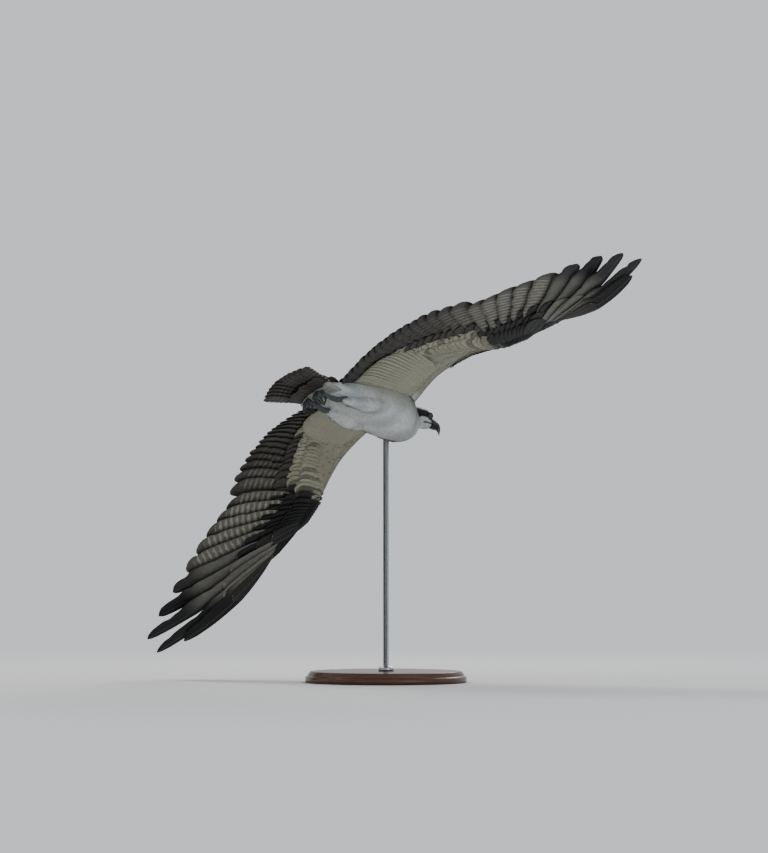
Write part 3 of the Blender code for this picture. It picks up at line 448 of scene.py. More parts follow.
class FootSettings(bpy.types.PropertyGroup):
    """Sizes and colours of the legs and feet."""

    toe_length: length_setting(0.026, "Toe length", "Length of each closed toe")
    toe_radius: length_setting(0.0040, "Toe radius", "Radius of a toe at its root")
    claw_length: length_setting(0.020, "Talon length", "Length of each talon along its curve")
    claw_turn: angle_setting(75.0, "Talon curve", "How far each talon curves from root to point")
    # The scales' grey is darker than the real pale blue-grey, as painted shade on the legs tucked under the
    # tail
    scale: colour_setting("666C6B", "Scales", "Rough scales of the bare leg")
    scale_gap: colour_setting("2B2E2E", "Scale gaps", "Skin between the scales")
    talon: colour_setting("121214", "Talons", "Black horn of the talons")


class StandSettings(bpy.types.PropertyGroup):
    """Sizes and colours of the display stand."""

    base_radius: length_setting(STAND_BASE[1].x, "Base radius", "Radius of the wooden base")
    base_height: length_setting(STAND_BASE[1].z, "Base height", "Thickness of the wooden base")
    rod_radius: length_setting(0.006, "Rod radius", "Radius of the steel rod")
    wood_dark: colour_setting("2E1A0F", "Wood, dark", "Darker grain of the base")
    wood_light: colour_setting("6B4426", "Wood, light", "Lighter grain of the base")
    steel: colour_setting("B4B6B8", "Steel", "Brushed steel of the rod and collar")


class StageSettings(bpy.types.PropertyGroup):
    """Surround, floor, lights and camera."""

    surround: colour_setting("C9CDD2", "Surround", "Even light from all round")
    floor: colour_setting("D2D2D0", "Floor", "Matte paint of the studio floor")
    key_power: power_setting(46.0, "Key light", "Soft light from above, on the left")
    fill_power: power_setting(16.0, "Fill light", "Broad weak light from the camera's side")
    rim_power: power_setting(18.0, "Rim light", "Light from behind that edges the feathers")
    camera_back: length_setting(15.0, "Camera distance", "From the bird to the camera")


SETTINGS = {
    "osprey_plumage": PlumageSettings,
    "osprey_feathers": FeatherSettings,
    "osprey_head": HeadSettings,
    "osprey_feet": FootSettings,
    "osprey_stand": StandSettings,
    "osprey_stage": StageSettings,
}


def paint(name):
    """A colour of the plumage."""
    return np.array(getattr(bpy.context.scene.osprey_plumage, name))


def paints(*names):
    return [paint(name) for name in names]


def opaque(colour):
    return (*colour, 1.0)


def add_node(tree, kind, inputs=None, **settings):
    """One node with its settings, each input set, or linked from a socket or a node's live output."""
    node = tree.nodes.new(kind)
    for name, value in settings.items():
        setattr(node, name, value)
    for key, value in (inputs or {}).items():
        if isinstance(value, bpy.types.Node):
            value = next(output for output in value.outputs if output.enabled)
        if isinstance(value, bpy.types.NodeSocket):
            tree.links.new(value, node.inputs[key])
        else:
            node.inputs[key].default_value = value
    return node


# Curves and sheets of the wing


def smooth_between(before, a, b, after, u):
    """Value at u, from 0 to 1, between a and b on a smooth curve through all four."""
    return 0.5 * (
        2.0 * a
        + (b - before) * u
        + (2.0 * before - 5.0 * a + 4.0 * b - after) * u**2
        + (3.0 * a - before - 3.0 * b + after) * u**3
    )


def smooth_rows(rows, count):
    """The rows of a table of stations, read at count even steps of a smooth curve."""
    rows = np.array(rows, float)
    rows = np.concatenate([2.0 * rows[:1] - rows[1:2], rows, 2.0 * rows[-1:] - rows[-2:-1]])
    read = []
    for t in np.linspace(0.0, len(rows) - 3.0, count):
        i = min(int(t), len(rows) - 4)
        read.append(smooth_between(*rows[i:i + 4], t - i))
    return read


def smooth_values(values, count):
    """As smooth_rows, for single numbers."""
    return [float(row[0]) for row in smooth_rows([[value] for value in values], count)]


def spline(points, t):
    """Point at t, from 0 to 1, on a smooth curve through the points."""
    points = [Vector(p) for p in points]
    points = [points[0] * 2.0 - points[1], *points, points[-1] * 2.0 - points[-2]]
    place = min(max(t, 0.0), 1.0) * (len(points) - 3)
    i = min(int(place), len(points) - 4)
    return smooth_between(*points[i:i + 4], place - i)


def at_span(points, span):
    """Point of a smooth curve where its distance from the trunk's plane is span."""
    low, high = 0.0, 1.0
    for _ in range(26):
        middle = 0.5 * (low + high)
        if spline(points, middle).y < span:
            low = middle
        else:
            high = middle
    return spline(points, 0.5 * (low + high))


def arm_root(k):
    bones = (INNER_QUILL, ELBOW, FOREARM, WRIST)
    if k < UPPER_ARM_QUILLS:
        return spline(bones, k / UPPER_ARM_QUILLS / 3.0)
    return spline(bones, (1.0 + 2.0 * (k - UPPER_ARM_QUILLS) / (ARM_QUILLS - UPPER_ARM_QUILLS)) / 3.0)


def arm_tip(k):
    fade = math.exp(-(ARM_QUILLS - 1 - k) / TIP_SHIFT_FADE)
    shift = TIP_SHIFT_INNER + (TIP_SHIFT_WRIST - TIP_SHIFT_INNER) * fade
    return at_span(TRAILING_EDGE, arm_root(k).y + shift)


def primary_root(k):
    return Vector(WRIST).lerp(Vector(DIGIT_TIP), 0.06 + 0.94 * k / (len(PRIMARY_LENGTHS) - 1))


def primary_tip(k):
    last = len(PRIMARY_LENGTHS) - 1
    sweep = math.radians(PRIMARY_SWEEPS[k])
    droop = (k / last) ** PRIMARY_DIP_CURVE
    dip = math.radians(PRIMARY_DIP_FIRST + (PRIMARY_DIP_LAST - PRIMARY_DIP_FIRST) * droop)
    flat = PRIMARY_LENGTHS[k] * math.cos(dip)
    reach = Vector((-flat * math.cos(sweep), flat * math.sin(sweep), -PRIMARY_LENGTHS[k] * math.sin(dip)))
    return primary_root(k) + reach


def quill_ends(k):
    """Root and tip of flight feather k of the wing, counted from the trunk."""
    if k < ARM_QUILLS:
        return arm_root(k), arm_tip(k)
    return primary_root(k - ARM_QUILLS), primary_tip(k - ARM_QUILLS)


class Fan:
    """The curved sheet that the quills of a wing span, read at any place along the row."""

    def __init__(self):
        self.ends = [quill_ends(k) for k in range(QUILLS)]
        self.last = QUILLS - 1

    def hand(self, place):
        return max(place - ARM_QUILLS, 0.0) / (QUILLS - 1 - ARM_QUILLS)

    def straight(self, place, s):
        i = min(max(int(math.floor(place)), 0), self.last - 1)
        u = place - i
        first = self.ends[i][0].lerp(self.ends[i][1], s)
        second = self.ends[i + 1][0].lerp(self.ends[i + 1][1], s)
        return first.lerp(second, u)

    def frame(self, place, s):
        """Unit vectors along the quill, out to the next one, and to the dorsal side."""
        middle = min(max(place, 0.5), self.last - 0.5)
        along = (self.straight(place, 1.0) - self.straight(place, 0.0)).normalized()
        out = self.straight(middle + 0.5, s) - self.straight(middle - 0.5, s)
        out = (out - along * out.dot(along)).normalized()
        over = along.cross(out)
        if over.z < 0.0:
            over.negate()
        return along, out, over

    def length(self, place):
        return (self.straight(place, 1.0) - self.straight(place, 0.0)).length

    def point(self, place, s):
        """Arm quills arch upwards; the outer primaries bow forwards and bend up at their ends."""
        _, out, over = self.frame(place, s)
        wave = math.sin(math.pi * min(max(s, 0.0), 1.0)) * self.length(place)
        arch = 0.035 - 0.045 * self.hand(place)
        return self.straight(place, s) + over * (arch * wave) + out * (0.052 * self.hand(place) * wave)


FAN = Fan()


def core_half(place):
    """Half thickness of the flesh at a place along the row of quills."""
    marks = ((-3.0, CORE_HALF[0]), (float(UPPER_ARM_QUILLS), CORE_HALF[1]),
             (float(ARM_QUILLS), CORE_HALF[2]), (float(QUILLS), CORE_HALF[3]))
    for (a, first), (b, second) in zip(marks, marks[1:]):
        if place <= b:
            return first + (second - first) * max(place - a, 0.0) / (b - a)
    return CORE_HALF[3]


def lift_wing(points, side):
    """Points of the level left wing, raised as that side's wing is and put on its side."""
    points = np.array(points, float)
    span = points[:, 1]
    rise = HAND_LIFT[side] * smoothstep(span, 0.15, 0.36)
    rise = rise + FINGER_LIFT[side] * smoothstep(span, 0.45, 0.72)
    ahead = np.clip(1.0 + points[:, 0] / TWIST_CHORD, 0.0, 1.0)
    rise = rise + HAND_TWIST[side] * ahead * smoothstep(span, 0.15, 0.36)
    points[:, 2] += rise
    points[:, 1] *= side
    return points


def moved(points, matrix):
    points = np.asarray(points, float).reshape(-1, 3)
    return points @ np.array(matrix.to_3x3()).T + np.array(matrix.translation)


def to_world(points):
    return moved(points, BIRD)


# Meshes


def link(name, mesh, surface=None):
    made = bpy.data.objects.new(name, mesh)
    bpy.context.scene.collection.objects.link(made)
    if surface:
        made.data.materials.clear()
        made.data.materials.append(surface)
    return made


def mesh_from(name, verts, faces, in_bird=True):
    verts = to_world(verts) if in_bird else np.asarray(verts, float)
    mesh = bpy.data.meshes.new(name)
    mesh.from_pydata([tuple(v) for v in verts], [], faces)
    mesh.update()
    return mesh


@contextmanager
def edited(mesh):
    """The mesh opened for edits of its points and faces, which are then written back."""
    work = bmesh.new()
    work.from_mesh(mesh)
    yield work
    work.to_mesh(mesh)
    work.free()


def outward(mesh):
    """Turn every face of closed surfaces out."""
    with edited(mesh) as work:
        bmesh.ops.recalc_face_normals(work, faces=work.faces[:])
    return mesh


def add_piece(name, mesh, surface, replaces=()):
    """One visual piece of the bird or its stand, with the given surface, in place of the nodes named."""
    made = link(name, mesh, surface)
    made.data.shade_smooth()
    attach(made, "root")
    if replaces:
        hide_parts(*replaces)
    return made


def ring(centre, side, over, half_width, above, below, count):
    """Points of an egg-shaped section, round from its left side over its top."""
    centre, side, over = (np.array(v, float) for v in (centre, side, over))
    angles = 2.0 * math.pi * np.arange(count) / count
    rise = np.where(np.sin(angles) >= 0.0, above, below)
    return centre + np.outer(half_width * np.cos(angles), side) + np.outer(rise * np.sin(angles), over)


def bands(rows, count):
    """Faces between rings of count points, with rows of faces from the first to the last ring."""
    faces = []
    for j in range(rows):
        for i in range(count):
            a = j * count + i
            b = j * count + (i + 1) % count
            faces.append((a, a + count, b + count, b))
    return faces


def loft(rings):
    """Vertices and faces of a closed body through rings of equal count."""
    count = len(rings[0])
    verts = np.concatenate(rings)
    faces = bands(len(rings) - 1, count)
    last = (len(rings) - 1) * count
    faces.append(tuple(range(count)))
    faces.append(tuple(last + i for i in reversed(range(count))))
    return verts, faces


def joined(bodies):
    """One list of vertices and faces from several bodies."""
    verts, faces, start = [], [], 0
    for v, f in bodies:
        verts.append(np.asarray(v, float))
        faces += [tuple(i + start for i in face) for face in f]
        start += len(v)
    return np.concatenate(verts), faces


def tube(points, radii, sides, guide=(0.0, 1.0, 0.0), flatten=1.0):
    """Closed round body along points, with a radius at each."""
    points = [Vector(p) for p in points]
    rings = []
    for k, (point, radius) in enumerate(zip(points, radii)):
        along = (points[min(k + 1, len(points) - 1)] - points[max(k - 1, 0)]).normalized()
        across = Vector(guide)
        across = (across - along * across.dot(along)).normalized()
        rings.append(ring(point, across, along.cross(across), radius, radius * flatten,
                          radius * flatten, sides))
    return loft(rings)


# Plumage markings, in the bird's frame


def ripple(points, size, seed):
    """Smooth numbers from about -1 to 1 that change over a distance of size."""
    draw = np.random.default_rng(seed)
    total = np.zeros(len(points))
    for _ in range(6):
        way = draw.normal(size=3)
        way *= 2.0 * math.pi / size / np.linalg.norm(way) * draw.uniform(0.6, 1.5)
        total += np.sin(points @ way + draw.uniform(0.0, 2.0 * math.pi))
    return total / 2.6


def blend(first, second, share):
    share = np.clip(share, 0.0, 1.0)[:, None]
    return first * (1.0 - share) + second * share


def to_head(points):
    turn = np.array(HEAD.to_3x3())
    return (points - np.array(HEAD.translation)) @ turn


def over_mouth(x, z):
    """Height over the line of the mouth, in the head's frame."""
    return z - (MOUTH_LINE + MOUTH_SLOPE * (x - MOUTH_FRONT))


def leading_x(span):
    line = np.array(LEADING_EDGE)
    return np.interp(span, line[:, 1], line[:, 0])


def white_reach(span):
    """How far back the white of the under wing reaches, at each distance from the trunk."""
    spans = (0.04, 0.10, 0.15, 0.17, 0.20, 0.24, 0.29, 0.33)
    reach = (-0.235, -0.222, -0.200, -0.165, -0.140, -0.122, -0.095, -0.078)
    return np.interp(span, spans, reach)


def under_wing(points):
    """Colour of the under side of the wing's coverts."""
    span = np.abs(points[:, 1])
    rough = ripple(points, 0.030, 3)
    fine = ripple(points, 0.011, 4)
    # The lining's olive grey is painted shade under the wing, darker than the real white
    tone = blend(paint("lining"), paint("lining_pale"), 0.4 + 0.4 * ripple(points, 0.09, 5))
    marks = smoothstep(fine + 0.5 * rough, 0.85, 1.15) * smoothstep(span, 0.10, 0.16)
    tone = blend(tone, paint("streak"), 0.55 * marks)
    back = points[:, 0] - white_reach(span) + 0.004 * fine
    tone = blend(tone, paint("band"), 1.0 - smoothstep(back, -0.005, 0.006))
    patch = smoothstep(span + 0.006 * fine + 0.004 * rough, 0.272, 0.284)
    patch = patch * (1.0 - smoothstep(span + 0.008 * fine, 0.452, 0.466))
    behind = smoothstep(leading_x(span) - points[:, 0] + 0.008 * fine, 0.080, 0.094)
    tone = blend(tone, paint("carpal"), patch * (1.0 - behind))
    outer = smoothstep(span + 0.005 * fine, 0.456, 0.470)
    front = 1.0 - smoothstep(leading_x(span) - points[:, 0], 0.010, 0.022)
    tone = blend(tone, paint("finger_base"), outer * (1.0 - front))
    return blend(tone, paint("carpal"), outer * front)


def over_wing(points):
    """Colour of the upper side of the wing's coverts."""
    tone = blend(paint("brown"), paint("deep_brown"), 0.5 + 0.5 * ripple(points, 0.035, 7))
    return blend(tone, paint("pale_edge"), 0.20 * smoothstep(ripple(points, 0.012, 8), 0.2, 1.0))


def trunk_colour(points, normals):
    """White below and brown above, with the division along the flanks and a soft necklace."""
    rump = smoothstep(-points[:, 0], 0.20, 0.28)
    rise = points[:, 2] - 0.030 + 0.012 * rump + 0.006 * ripple(points, 0.02, 9)
    above = smoothstep(rise, 0.008, 0.022) * smoothstep(normals[:, 2], -0.25, 0.20)
    tone = blend(paint("white"), paint("white_shade"), 0.35 + 0.35 * ripple(points, 0.05, 10))
    band = np.exp(-((points[:, 0] + 0.030) / 0.022) ** 2) * (1.0 - above)
    tone = blend(tone, paint("pale_edge"), 0.16 * band * smoothstep(ripple(points, 0.008, 11), 0.3, 0.9))
    return blend(tone, over_wing(points), above)


def head_colour(points):
    """White head with a dark mask from the lores through the eye to the side of the nape."""
    h = to_head(points)
    fine = ripple(points, 0.006, 12)
    x, side, z = h[:, 0], np.abs(h[:, 1]), h[:, 2]
    tone = blend(paint("white"), paint("white_shade"), 0.2 + 0.2 * ripple(points, 0.02, 13))
    streaks = smoothstep(ripple(points * (0.4, 1.0, 1.0), 0.0045, 14), 0.1, 0.9)
    crown = smoothstep(z, 0.014, 0.020) * streaks
    tone = blend(tone, paint("streak"), 0.45 * crown * (1.0 - smoothstep(x, 0.004, 0.016)))
    # The mask is deep behind the eye and narrows in front of it to the lores
    top = np.interp(x, (-0.030, -0.010, 0.008, 0.018, 0.025), (0.0118, 0.0128, 0.0150, 0.0125, 0.0090))
    low = np.interp(x, (-0.030, -0.012, -0.002, 0.007, 0.014, 0.025),
                    (-0.010, -0.0085, -0.0030, 0.0002, 0.0, -0.003))
    edge = 0.0010 * fine
    stripe = smoothstep(z + edge, low - 0.0008, low + 0.0008)
    stripe = stripe * (1.0 - smoothstep(z + edge, top - 0.001, top + 0.001))
    tone = blend(tone, paint("mask"), stripe * smoothstep(side, 0.0030, 0.0060))
    # Dark corner and line of the mouth: the gape's own dark skin, and painted shade in the crease along it
    gape = np.abs(over_mouth(x, z))
    line = (1.0 - smoothstep(gape, 0.0010, 0.0022)) * smoothstep(x, 0.001, 0.006)
    return blend(tone, paint("mask"), 0.9 * line)


def plumage(points, normals):
    """Colour of the coat and of the skin under it at points of the bird."""
    h = to_head(points)
    span = np.abs(points[:, 1])
    wing = smoothstep(span, 0.038, 0.066)
    tone = trunk_colour(points, normals)
    arm = 1.0 - smoothstep(span, 0.24, 0.29)
    on_wing = blend(under_wing(points), over_wing(points),
                    smoothstep(normals[:, 2] - 0.32 * arm, -0.12, 0.12))
    tone = blend(tone, on_wing, wing)
    nape = smoothstep(h[:, 0], -0.040, -0.026) * (1.0 - wing)
    streaks = smoothstep(ripple(points * (0.35, 1.0, 1.0), 0.007, 15), 0.0, 0.8)
    upper = smoothstep(h[:, 2] + 0.003 * streaks, 0.008, 0.016)
    neck = blend(paint("white"), paint("streak"), upper * (0.25 + 0.6 * streaks))
    behind_mask = smoothstep(h[:, 2], -0.010, -0.004) * (1.0 - smoothstep(h[:, 2], 0.011, 0.014))
    behind_mask = behind_mask * smoothstep(h[:, 0], -0.040, -0.026)
    behind_mask = behind_mask * smoothstep(np.abs(h[:, 1]), 0.008, 0.014)
    neck = blend(neck, paint("mask"), 0.85 * behind_mask)
    tone = blend(tone, neck, nape)
    return blend(tone, head_colour(points), smoothstep(h[:, 0], -0.024, -0.017) * (1.0 - wing))


# Finishes


def new_finish(name):
    """An empty material, and what adds a node to it."""
    made = bpy.data.materials.new(name)
    made.use_nodes = True
    made.node_tree.nodes.clear()
    return made, partial(add_node, made.node_tree)


def finish(maker):
    """The material that a function makes under its own name, made once."""
    return bpy.data.materials.get(maker.__name__) or maker(maker.__name__)


def contour_feather_keratin(name):
    """Body feather: soft keratin barbs, matte, each feather a little lighter or darker."""
    made, add = new_finish(name)
    vane = add("ShaderNodeUVMap", uv_map="vane")
    place = add("ShaderNodeSeparateXYZ", {0: vane}).outputs
    # The tip of each feather is worn a little paler and its base is darker, as painted shadow
    worn = add("ShaderNodeMapRange", {0: place["Y"], 1: 0.45, 2: 1.0, 3: 0.86, 4: 1.06})
    shade = add("ShaderNodeAttribute", attribute_name="shade").outputs["Fac"]
    value = add("ShaderNodeMath", {0: worn, 1: shade}, operation="MULTIPLY")
    tone = add("ShaderNodeAttribute", attribute_name="plumage")
    toned = add("ShaderNodeVectorMath", {0: tone, "Scale": value}, operation="SCALE")
    # Barbs run out and forwards from the shaft, drawn 24 to a feather so that they show
    aside = add("ShaderNodeMath", {0: place["X"]}, operation="ABSOLUTE")
    lean = add("ShaderNodeMath", {0: aside, 1: -0.7, 2: place["Y"]}, operation="MULTIPLY_ADD")
    turns = add("ShaderNodeMath", {0: lean, 1: 150.0}, operation="MULTIPLY")
    barbs = add("ShaderNodeMath", {0: turns}, operation="SINE")
    ridges = add("ShaderNodeBump", {"Strength": 0.30, "Distance": 0.2 * MM, "Height": barbs})
    shader = add("ShaderNodeBsdfPrincipled", {
        "Base Color": toned, "Normal": ridges, "Roughness": 0.78, "IOR": 1.54, "Sheen Weight": 0.25,
        "Sheen Roughness": 0.5,
    })
    add("ShaderNodeOutputMaterial", {"Surface": shader})
    return made


def flight_feather_keratin(name):
    """Wing and tail quill: close-knit vane with bars across it and a smooth pale shaft."""
    made, add = new_finish(name)
    vane = add("ShaderNodeUVMap", uv_map="vane")
    place = add("ShaderNodeSeparateXYZ", {0: vane}).outputs
    grain = add("ShaderNodeTexNoise", {"Vector": vane, "Scale": 90.0, "Detail": 3.0})
    aside = add("ShaderNodeMath", {0: place["X"]}, operation="ABSOLUTE")
    # Bars across the vane, bent back from the shaft and a little uneven
    pitch = bpy.context.scene.osprey_feathers.bar_pitch
    bent = add("ShaderNodeMath", {0: aside, 1: 0.25, 2: place["Y"]}, operation="MULTIPLY_ADD")
    uneven = add("ShaderNodeMath", {0: grain, 1: 0.009, 2: bent}, operation="MULTIPLY_ADD")
    turns = add("ShaderNodeMath", {0: uneven, 1: 2.0 * math.pi / pitch}, operation="MULTIPLY")
    wave = add("ShaderNodeMath", {0: turns}, operation="COSINE")
    half = add("ShaderNodeMath", {0: wave, 1: 0.5, 2: 0.5}, operation="MULTIPLY_ADD")
    # Share 0 leaves the vane dark and share 1 leaves it pale
    share = add("ShaderNodeAttribute", attribute_name="bars").outputs["Fac"]
    level = add("ShaderNodeMath", {0: share, 1: 1.35, 2: half}, operation="MULTIPLY_ADD")
    pale = add("ShaderNodeMapRange", {0: level, 1: 0.95, 2: 1.40}, interpolation_type="SMOOTHSTEP")
    ink = add("ShaderNodeAttribute", attribute_name="ink")
    wash = add("ShaderNodeAttribute", attribute_name="wash")
    barred = add("ShaderNodeMix", {0: pale, 6: ink, 7: wash}, data_type="RGBA")
    # The shaft is smooth, hard and paler than the vane
    near = add("ShaderNodeMapRange", {0: aside, 1: 0.5 * MM, 2: 1.2 * MM, 3: 0.45, 4: 0.0})
    shafted = add("ShaderNodeMix", {0: near, 6: barred, 7: opaque(paint("shaft"))},
                  data_type="RGBA")
    worn = add("ShaderNodeMapRange", {0: grain, 1: 0.3, 2: 0.7, 3: 0.86, 4: 1.12})
    toned = add("ShaderNodeVectorMath", {0: shafted, "Scale": worn}, operation="SCALE")
    # Barbs are drawn 1 mm apart, about twice the real spacing, so that they show
    lean = add("ShaderNodeMath", {0: aside, 1: 0.9, 2: place["Y"]}, operation="MULTIPLY_ADD")
    angle = add("ShaderNodeMath", {0: lean, 1: 2.0 * math.pi / MM}, operation="MULTIPLY")
    barbs = add("ShaderNodeMath", {0: angle}, operation="SINE")
    ridges = add("ShaderNodeBump", {"Strength": 0.25, "Distance": 0.15 * MM, "Height": barbs})
    shader = add("ShaderNodeBsdfPrincipled", {
        "Base Color": toned, "Normal": ridges, "Roughness": 0.58, "IOR": 1.54, "Sheen Weight": 0.10,
    })
    add("ShaderNodeOutputMaterial", {"Surface": shader})
    return made


def downy_skin(name):
    """Skin under the coat, covered with short down of the coat's own colours."""
    made, add = new_finish(name)
    place = add("ShaderNodeTexCoord").outputs["Object"]
    down = add("ShaderNodeTexNoise", {"Vector": place, "Scale": 900.0, "Detail": 2.0})
    value = add("ShaderNodeMapRange", {0: down, 1: 0.3, 2: 0.7, 3: 0.62, 4: 0.92})
    tone = add("ShaderNodeAttribute", attribute_name="plumage")
    toned = add("ShaderNodeVectorMath", {0: tone, "Scale": value}, operation="SCALE")
    tufted = add("ShaderNodeBump", {"Strength": 0.5, "Distance": 0.4 * MM, "Height": down})
    shader = add("ShaderNodeBsdfPrincipled", {
        "Base Color": toned, "Normal": tufted, "Roughness": 0.9,
    })
    add("ShaderNodeOutputMaterial", {"Surface": shader})
    return made


def grained(name, colour, roughness, grain, contrast, depth, coat=0.0):
    """Finish of one colour with an even fine grain of the given spacing in metres."""
    made, add = new_finish(name)
    place = add("ShaderNodeTexCoord").outputs["Object"]
    fine = add("ShaderNodeTexNoise", {"Vector": place, "Scale": 1.0 / grain, "Detail": 4.0})
    value = add("ShaderNodeMapRange",
                {0: fine, 1: 0.3, 2: 0.7, 3: 1.0 - contrast, 4: 1.0 + contrast})
    toned = add("ShaderNodeVectorMath", {0: tuple(colour), "Scale": value}, operation="SCALE")
    rough = add("ShaderNodeBump", {"Strength": 0.6, "Distance": depth, "Height": fine})
    shader = add("ShaderNodeBsdfPrincipled", {
        "Base Color": toned, "Normal": rough, "Roughness": roughness, "Coat Weight": coat,
    })
    add("ShaderNodeOutputMaterial", {"Surface": shader})
    return made


def bill_horn(name):
    """Polished black horn, a little brown in places."""
    return grained(name, bpy.context.scene.osprey_head.bill, 0.32, 2.0 * MM, 0.25, 0.05 * MM, 0.3)


def cere_skin(name):
    """Waxy bare skin at the root of the bill."""
    return grained(name, bpy.context.scene.osprey_head.cere, 0.55, 0.8 * MM, 0.12, 0.06 * MM)


def lid_skin(name):
    """Dark bare skin with fine creases."""
    return grained(name, bpy.context.scene.osprey_head.lid, 0.6, 0.7 * MM, 0.2, 0.08 * MM)


def talon_horn(name):
    """Polished black horn, harder and glossier than the bill's."""
    return grained(name, bpy.context.scene.osprey_feet.talon, 0.28, 3.0 * MM, 0.2, 0.04 * MM, 0.4)


def wet_eye(name):
    """Wet eye: black pupil, yellow iris darkened as painted shade under the brow, with fine spokes, and a
    dark rim.
    """
    head = bpy.context.scene.osprey_head
    made, add = new_finish(name)
    disc = add("ShaderNodeUVMap", uv_map="disc")
    away = add("ShaderNodeSeparateXYZ", {0: disc}).outputs["X"]
    spokes = add("ShaderNodeTexNoise", {"Vector": disc, "Scale": 40.0, "Detail": 3.0})
    iris = add("ShaderNodeMix", {0: spokes, 6: opaque(head.iris_dark), 7: opaque(head.iris_light)},
               data_type="RGBA")
    edge = add("ShaderNodeMapRange",
               {0: away, 1: head.pupil_radius, 2: head.pupil_radius + 0.2 * MM})
    inner = add("ShaderNodeMix", {0: edge, 6: opaque(srgb("050505")), 7: iris}, data_type="RGBA")
    rim = add("ShaderNodeMapRange",
              {0: away, 1: head.eye_radius * 0.60, 2: head.eye_radius * 0.67})
    whole = add("ShaderNodeMix", {0: rim, 6: inner, 7: opaque(srgb("0C0A09"))}, data_type="RGBA")
    shader = add("ShaderNodeBsdfPrincipled", {
        "Base Color": whole, "Roughness": 0.25, "IOR": 1.38, "Coat Weight": 1.0, "Coat Roughness": 0.02,
    })
    add("ShaderNodeOutputMaterial", {"Surface": shader})
    return made


def leg_scale_skin(name):
    """Bare leg: small rough raised scales of grey skin, darker than the real blue-grey as painted shade."""
    feet = bpy.context.scene.osprey_feet
    made, add = new_finish(name)
    place = add("ShaderNodeTexCoord").outputs["Object"]
    cells = add("ShaderNodeTexVoronoi", {"Vector": place, "Scale": 1.0 / (1.8 * MM)},
                feature="DISTANCE_TO_EDGE")
    raised = add("ShaderNodeMapRange", {0: cells, 1: 0.02, 2: 0.16})
    toned = add("ShaderNodeMix", {0: raised, 6: opaque(feet.scale_gap), 7: opaque(feet.scale)},
                data_type="RGBA")
    rough = add("ShaderNodeBump", {"Strength": 0.8, "Distance": 0.3 * MM, "Height": raised})
    shader = add("ShaderNodeBsdfPrincipled", {
        "Base Color": toned, "Normal": rough, "Roughness": 0.6,
    })
    add("ShaderNodeOutputMaterial", {"Surface": shader})
    return made


def varnished_walnut(name):
    """Dark hardwood turned on a lathe and varnished: long straight grain with fine pores."""
    stand = bpy.context.scene.osprey_stand
    made, add = new_finish(name)
    place = add("ShaderNodeTexCoord").outputs["Object"]
    along = add("ShaderNodeMapping", {"Vector": place, "Scale": (1.0, 14.0, 6.0)})
    grain = add("ShaderNodeTexNoise", {
        "Vector": along, "Scale": 9.0, "Detail": 8.0, "Distortion": 0.6,
    })
    toned = add("ShaderNodeMix", {0: grain, 6: opaque(stand.wood_dark), 7: opaque(stand.wood_light)},
                data_type="RGBA")
    pores = add("ShaderNodeBump", {"Strength": 0.2, "Distance": 0.2 * MM, "Height": grain})
    shader = add("ShaderNodeBsdfPrincipled", {
        "Base Color": toned, "Normal": pores, "Roughness": 0.38, "Coat Weight": 0.35, "Coat Roughness": 0.15,
    })
    add("ShaderNodeOutputMaterial", {"Surface": shader})
    return made


def brushed_stainless_steel(name):
    """Stainless rod, brushed along its length."""
    made, add = new_finish(name)
    place = add("ShaderNodeTexCoord").outputs["Object"]
    along = add("ShaderNodeMapping", {"Vector": place, "Scale": (1.0, 1.0, 0.02)})
    lines = add("ShaderNodeTexNoise", {"Vector": along, "Scale": 2500.0, "Detail": 2.0})
    rough = add("ShaderNodeMapRange", {0: lines, 1: 0.3, 2: 0.7, 3: 0.22, 4: 0.36})
    brushed = add("ShaderNodeBump", {"Strength": 0.15, "Distance": 0.05 * MM, "Height": lines})
    shader = add("ShaderNodeBsdfPrincipled", {
        "Base Color": opaque(bpy.context.scene.osprey_stand.steel), "Normal": brushed, "Roughness": rough,
        "Metallic": 1.0,
    })
    add("ShaderNodeOutputMaterial", {"Surface": shader})
    return made


# The skin


def trunk_body():
    """Rump, trunk, neck and head as one closed body, smaller than the solids by the coat."""
    sides = 32
    lateral, upward = (0.0, 1.0, 0.0), (0.0, 0.0, 1.0)
    rings = []
    for x, z, width, above, below in smooth_rows(RUMP_STATIONS + TORSO_STATIONS, 44):
        inset = min(COAT_DEPTH, 0.35 * above)
        rings.append(ring((x, 0.0, z), lateral, upward, width - inset, above - inset, below - inset, sides))
    turn = HEAD.to_3x3()
    side, over, ahead = turn @ Vector(lateral), turn @ Vector(upward), turn @ Vector((1.0, 0.0, 0.0))
    heads = []
    for x, rise, width, above, below in smooth_rows(HEAD_STATIONS, 16):
        centre = HEAD @ Vector((x, 0.0, rise))
        inset = HEAD_COAT_DEPTH
        heads.append(ring(centre, side, over, width - inset, above - inset, below - inset, sides))
    start, end = rings[-1], heads[0]
    first, last = Vector(start.mean(0)), Vector(end.mean(0))
    steps = 6
    for k in range(1, steps):
        u = k / steps
        ease = u * u * (3.0 - 2.0 * u)
        bend = (1 - u) ** 3 * first + u**3 * last
        bend += 3 * (1 - u) ** 2 * u * (first + Vector((NECK_REACH * 0.4, 0.0, 0.0)))
        bend += 3 * (1 - u) * u**2 * (last - ahead * NECK_REACH * 0.4)
        section = (start - np.array(first)) * (1 - ease) + (end - np.array(last)) * ease
        rings.append(section + np.array(bend))
    return loft(rings + heads)


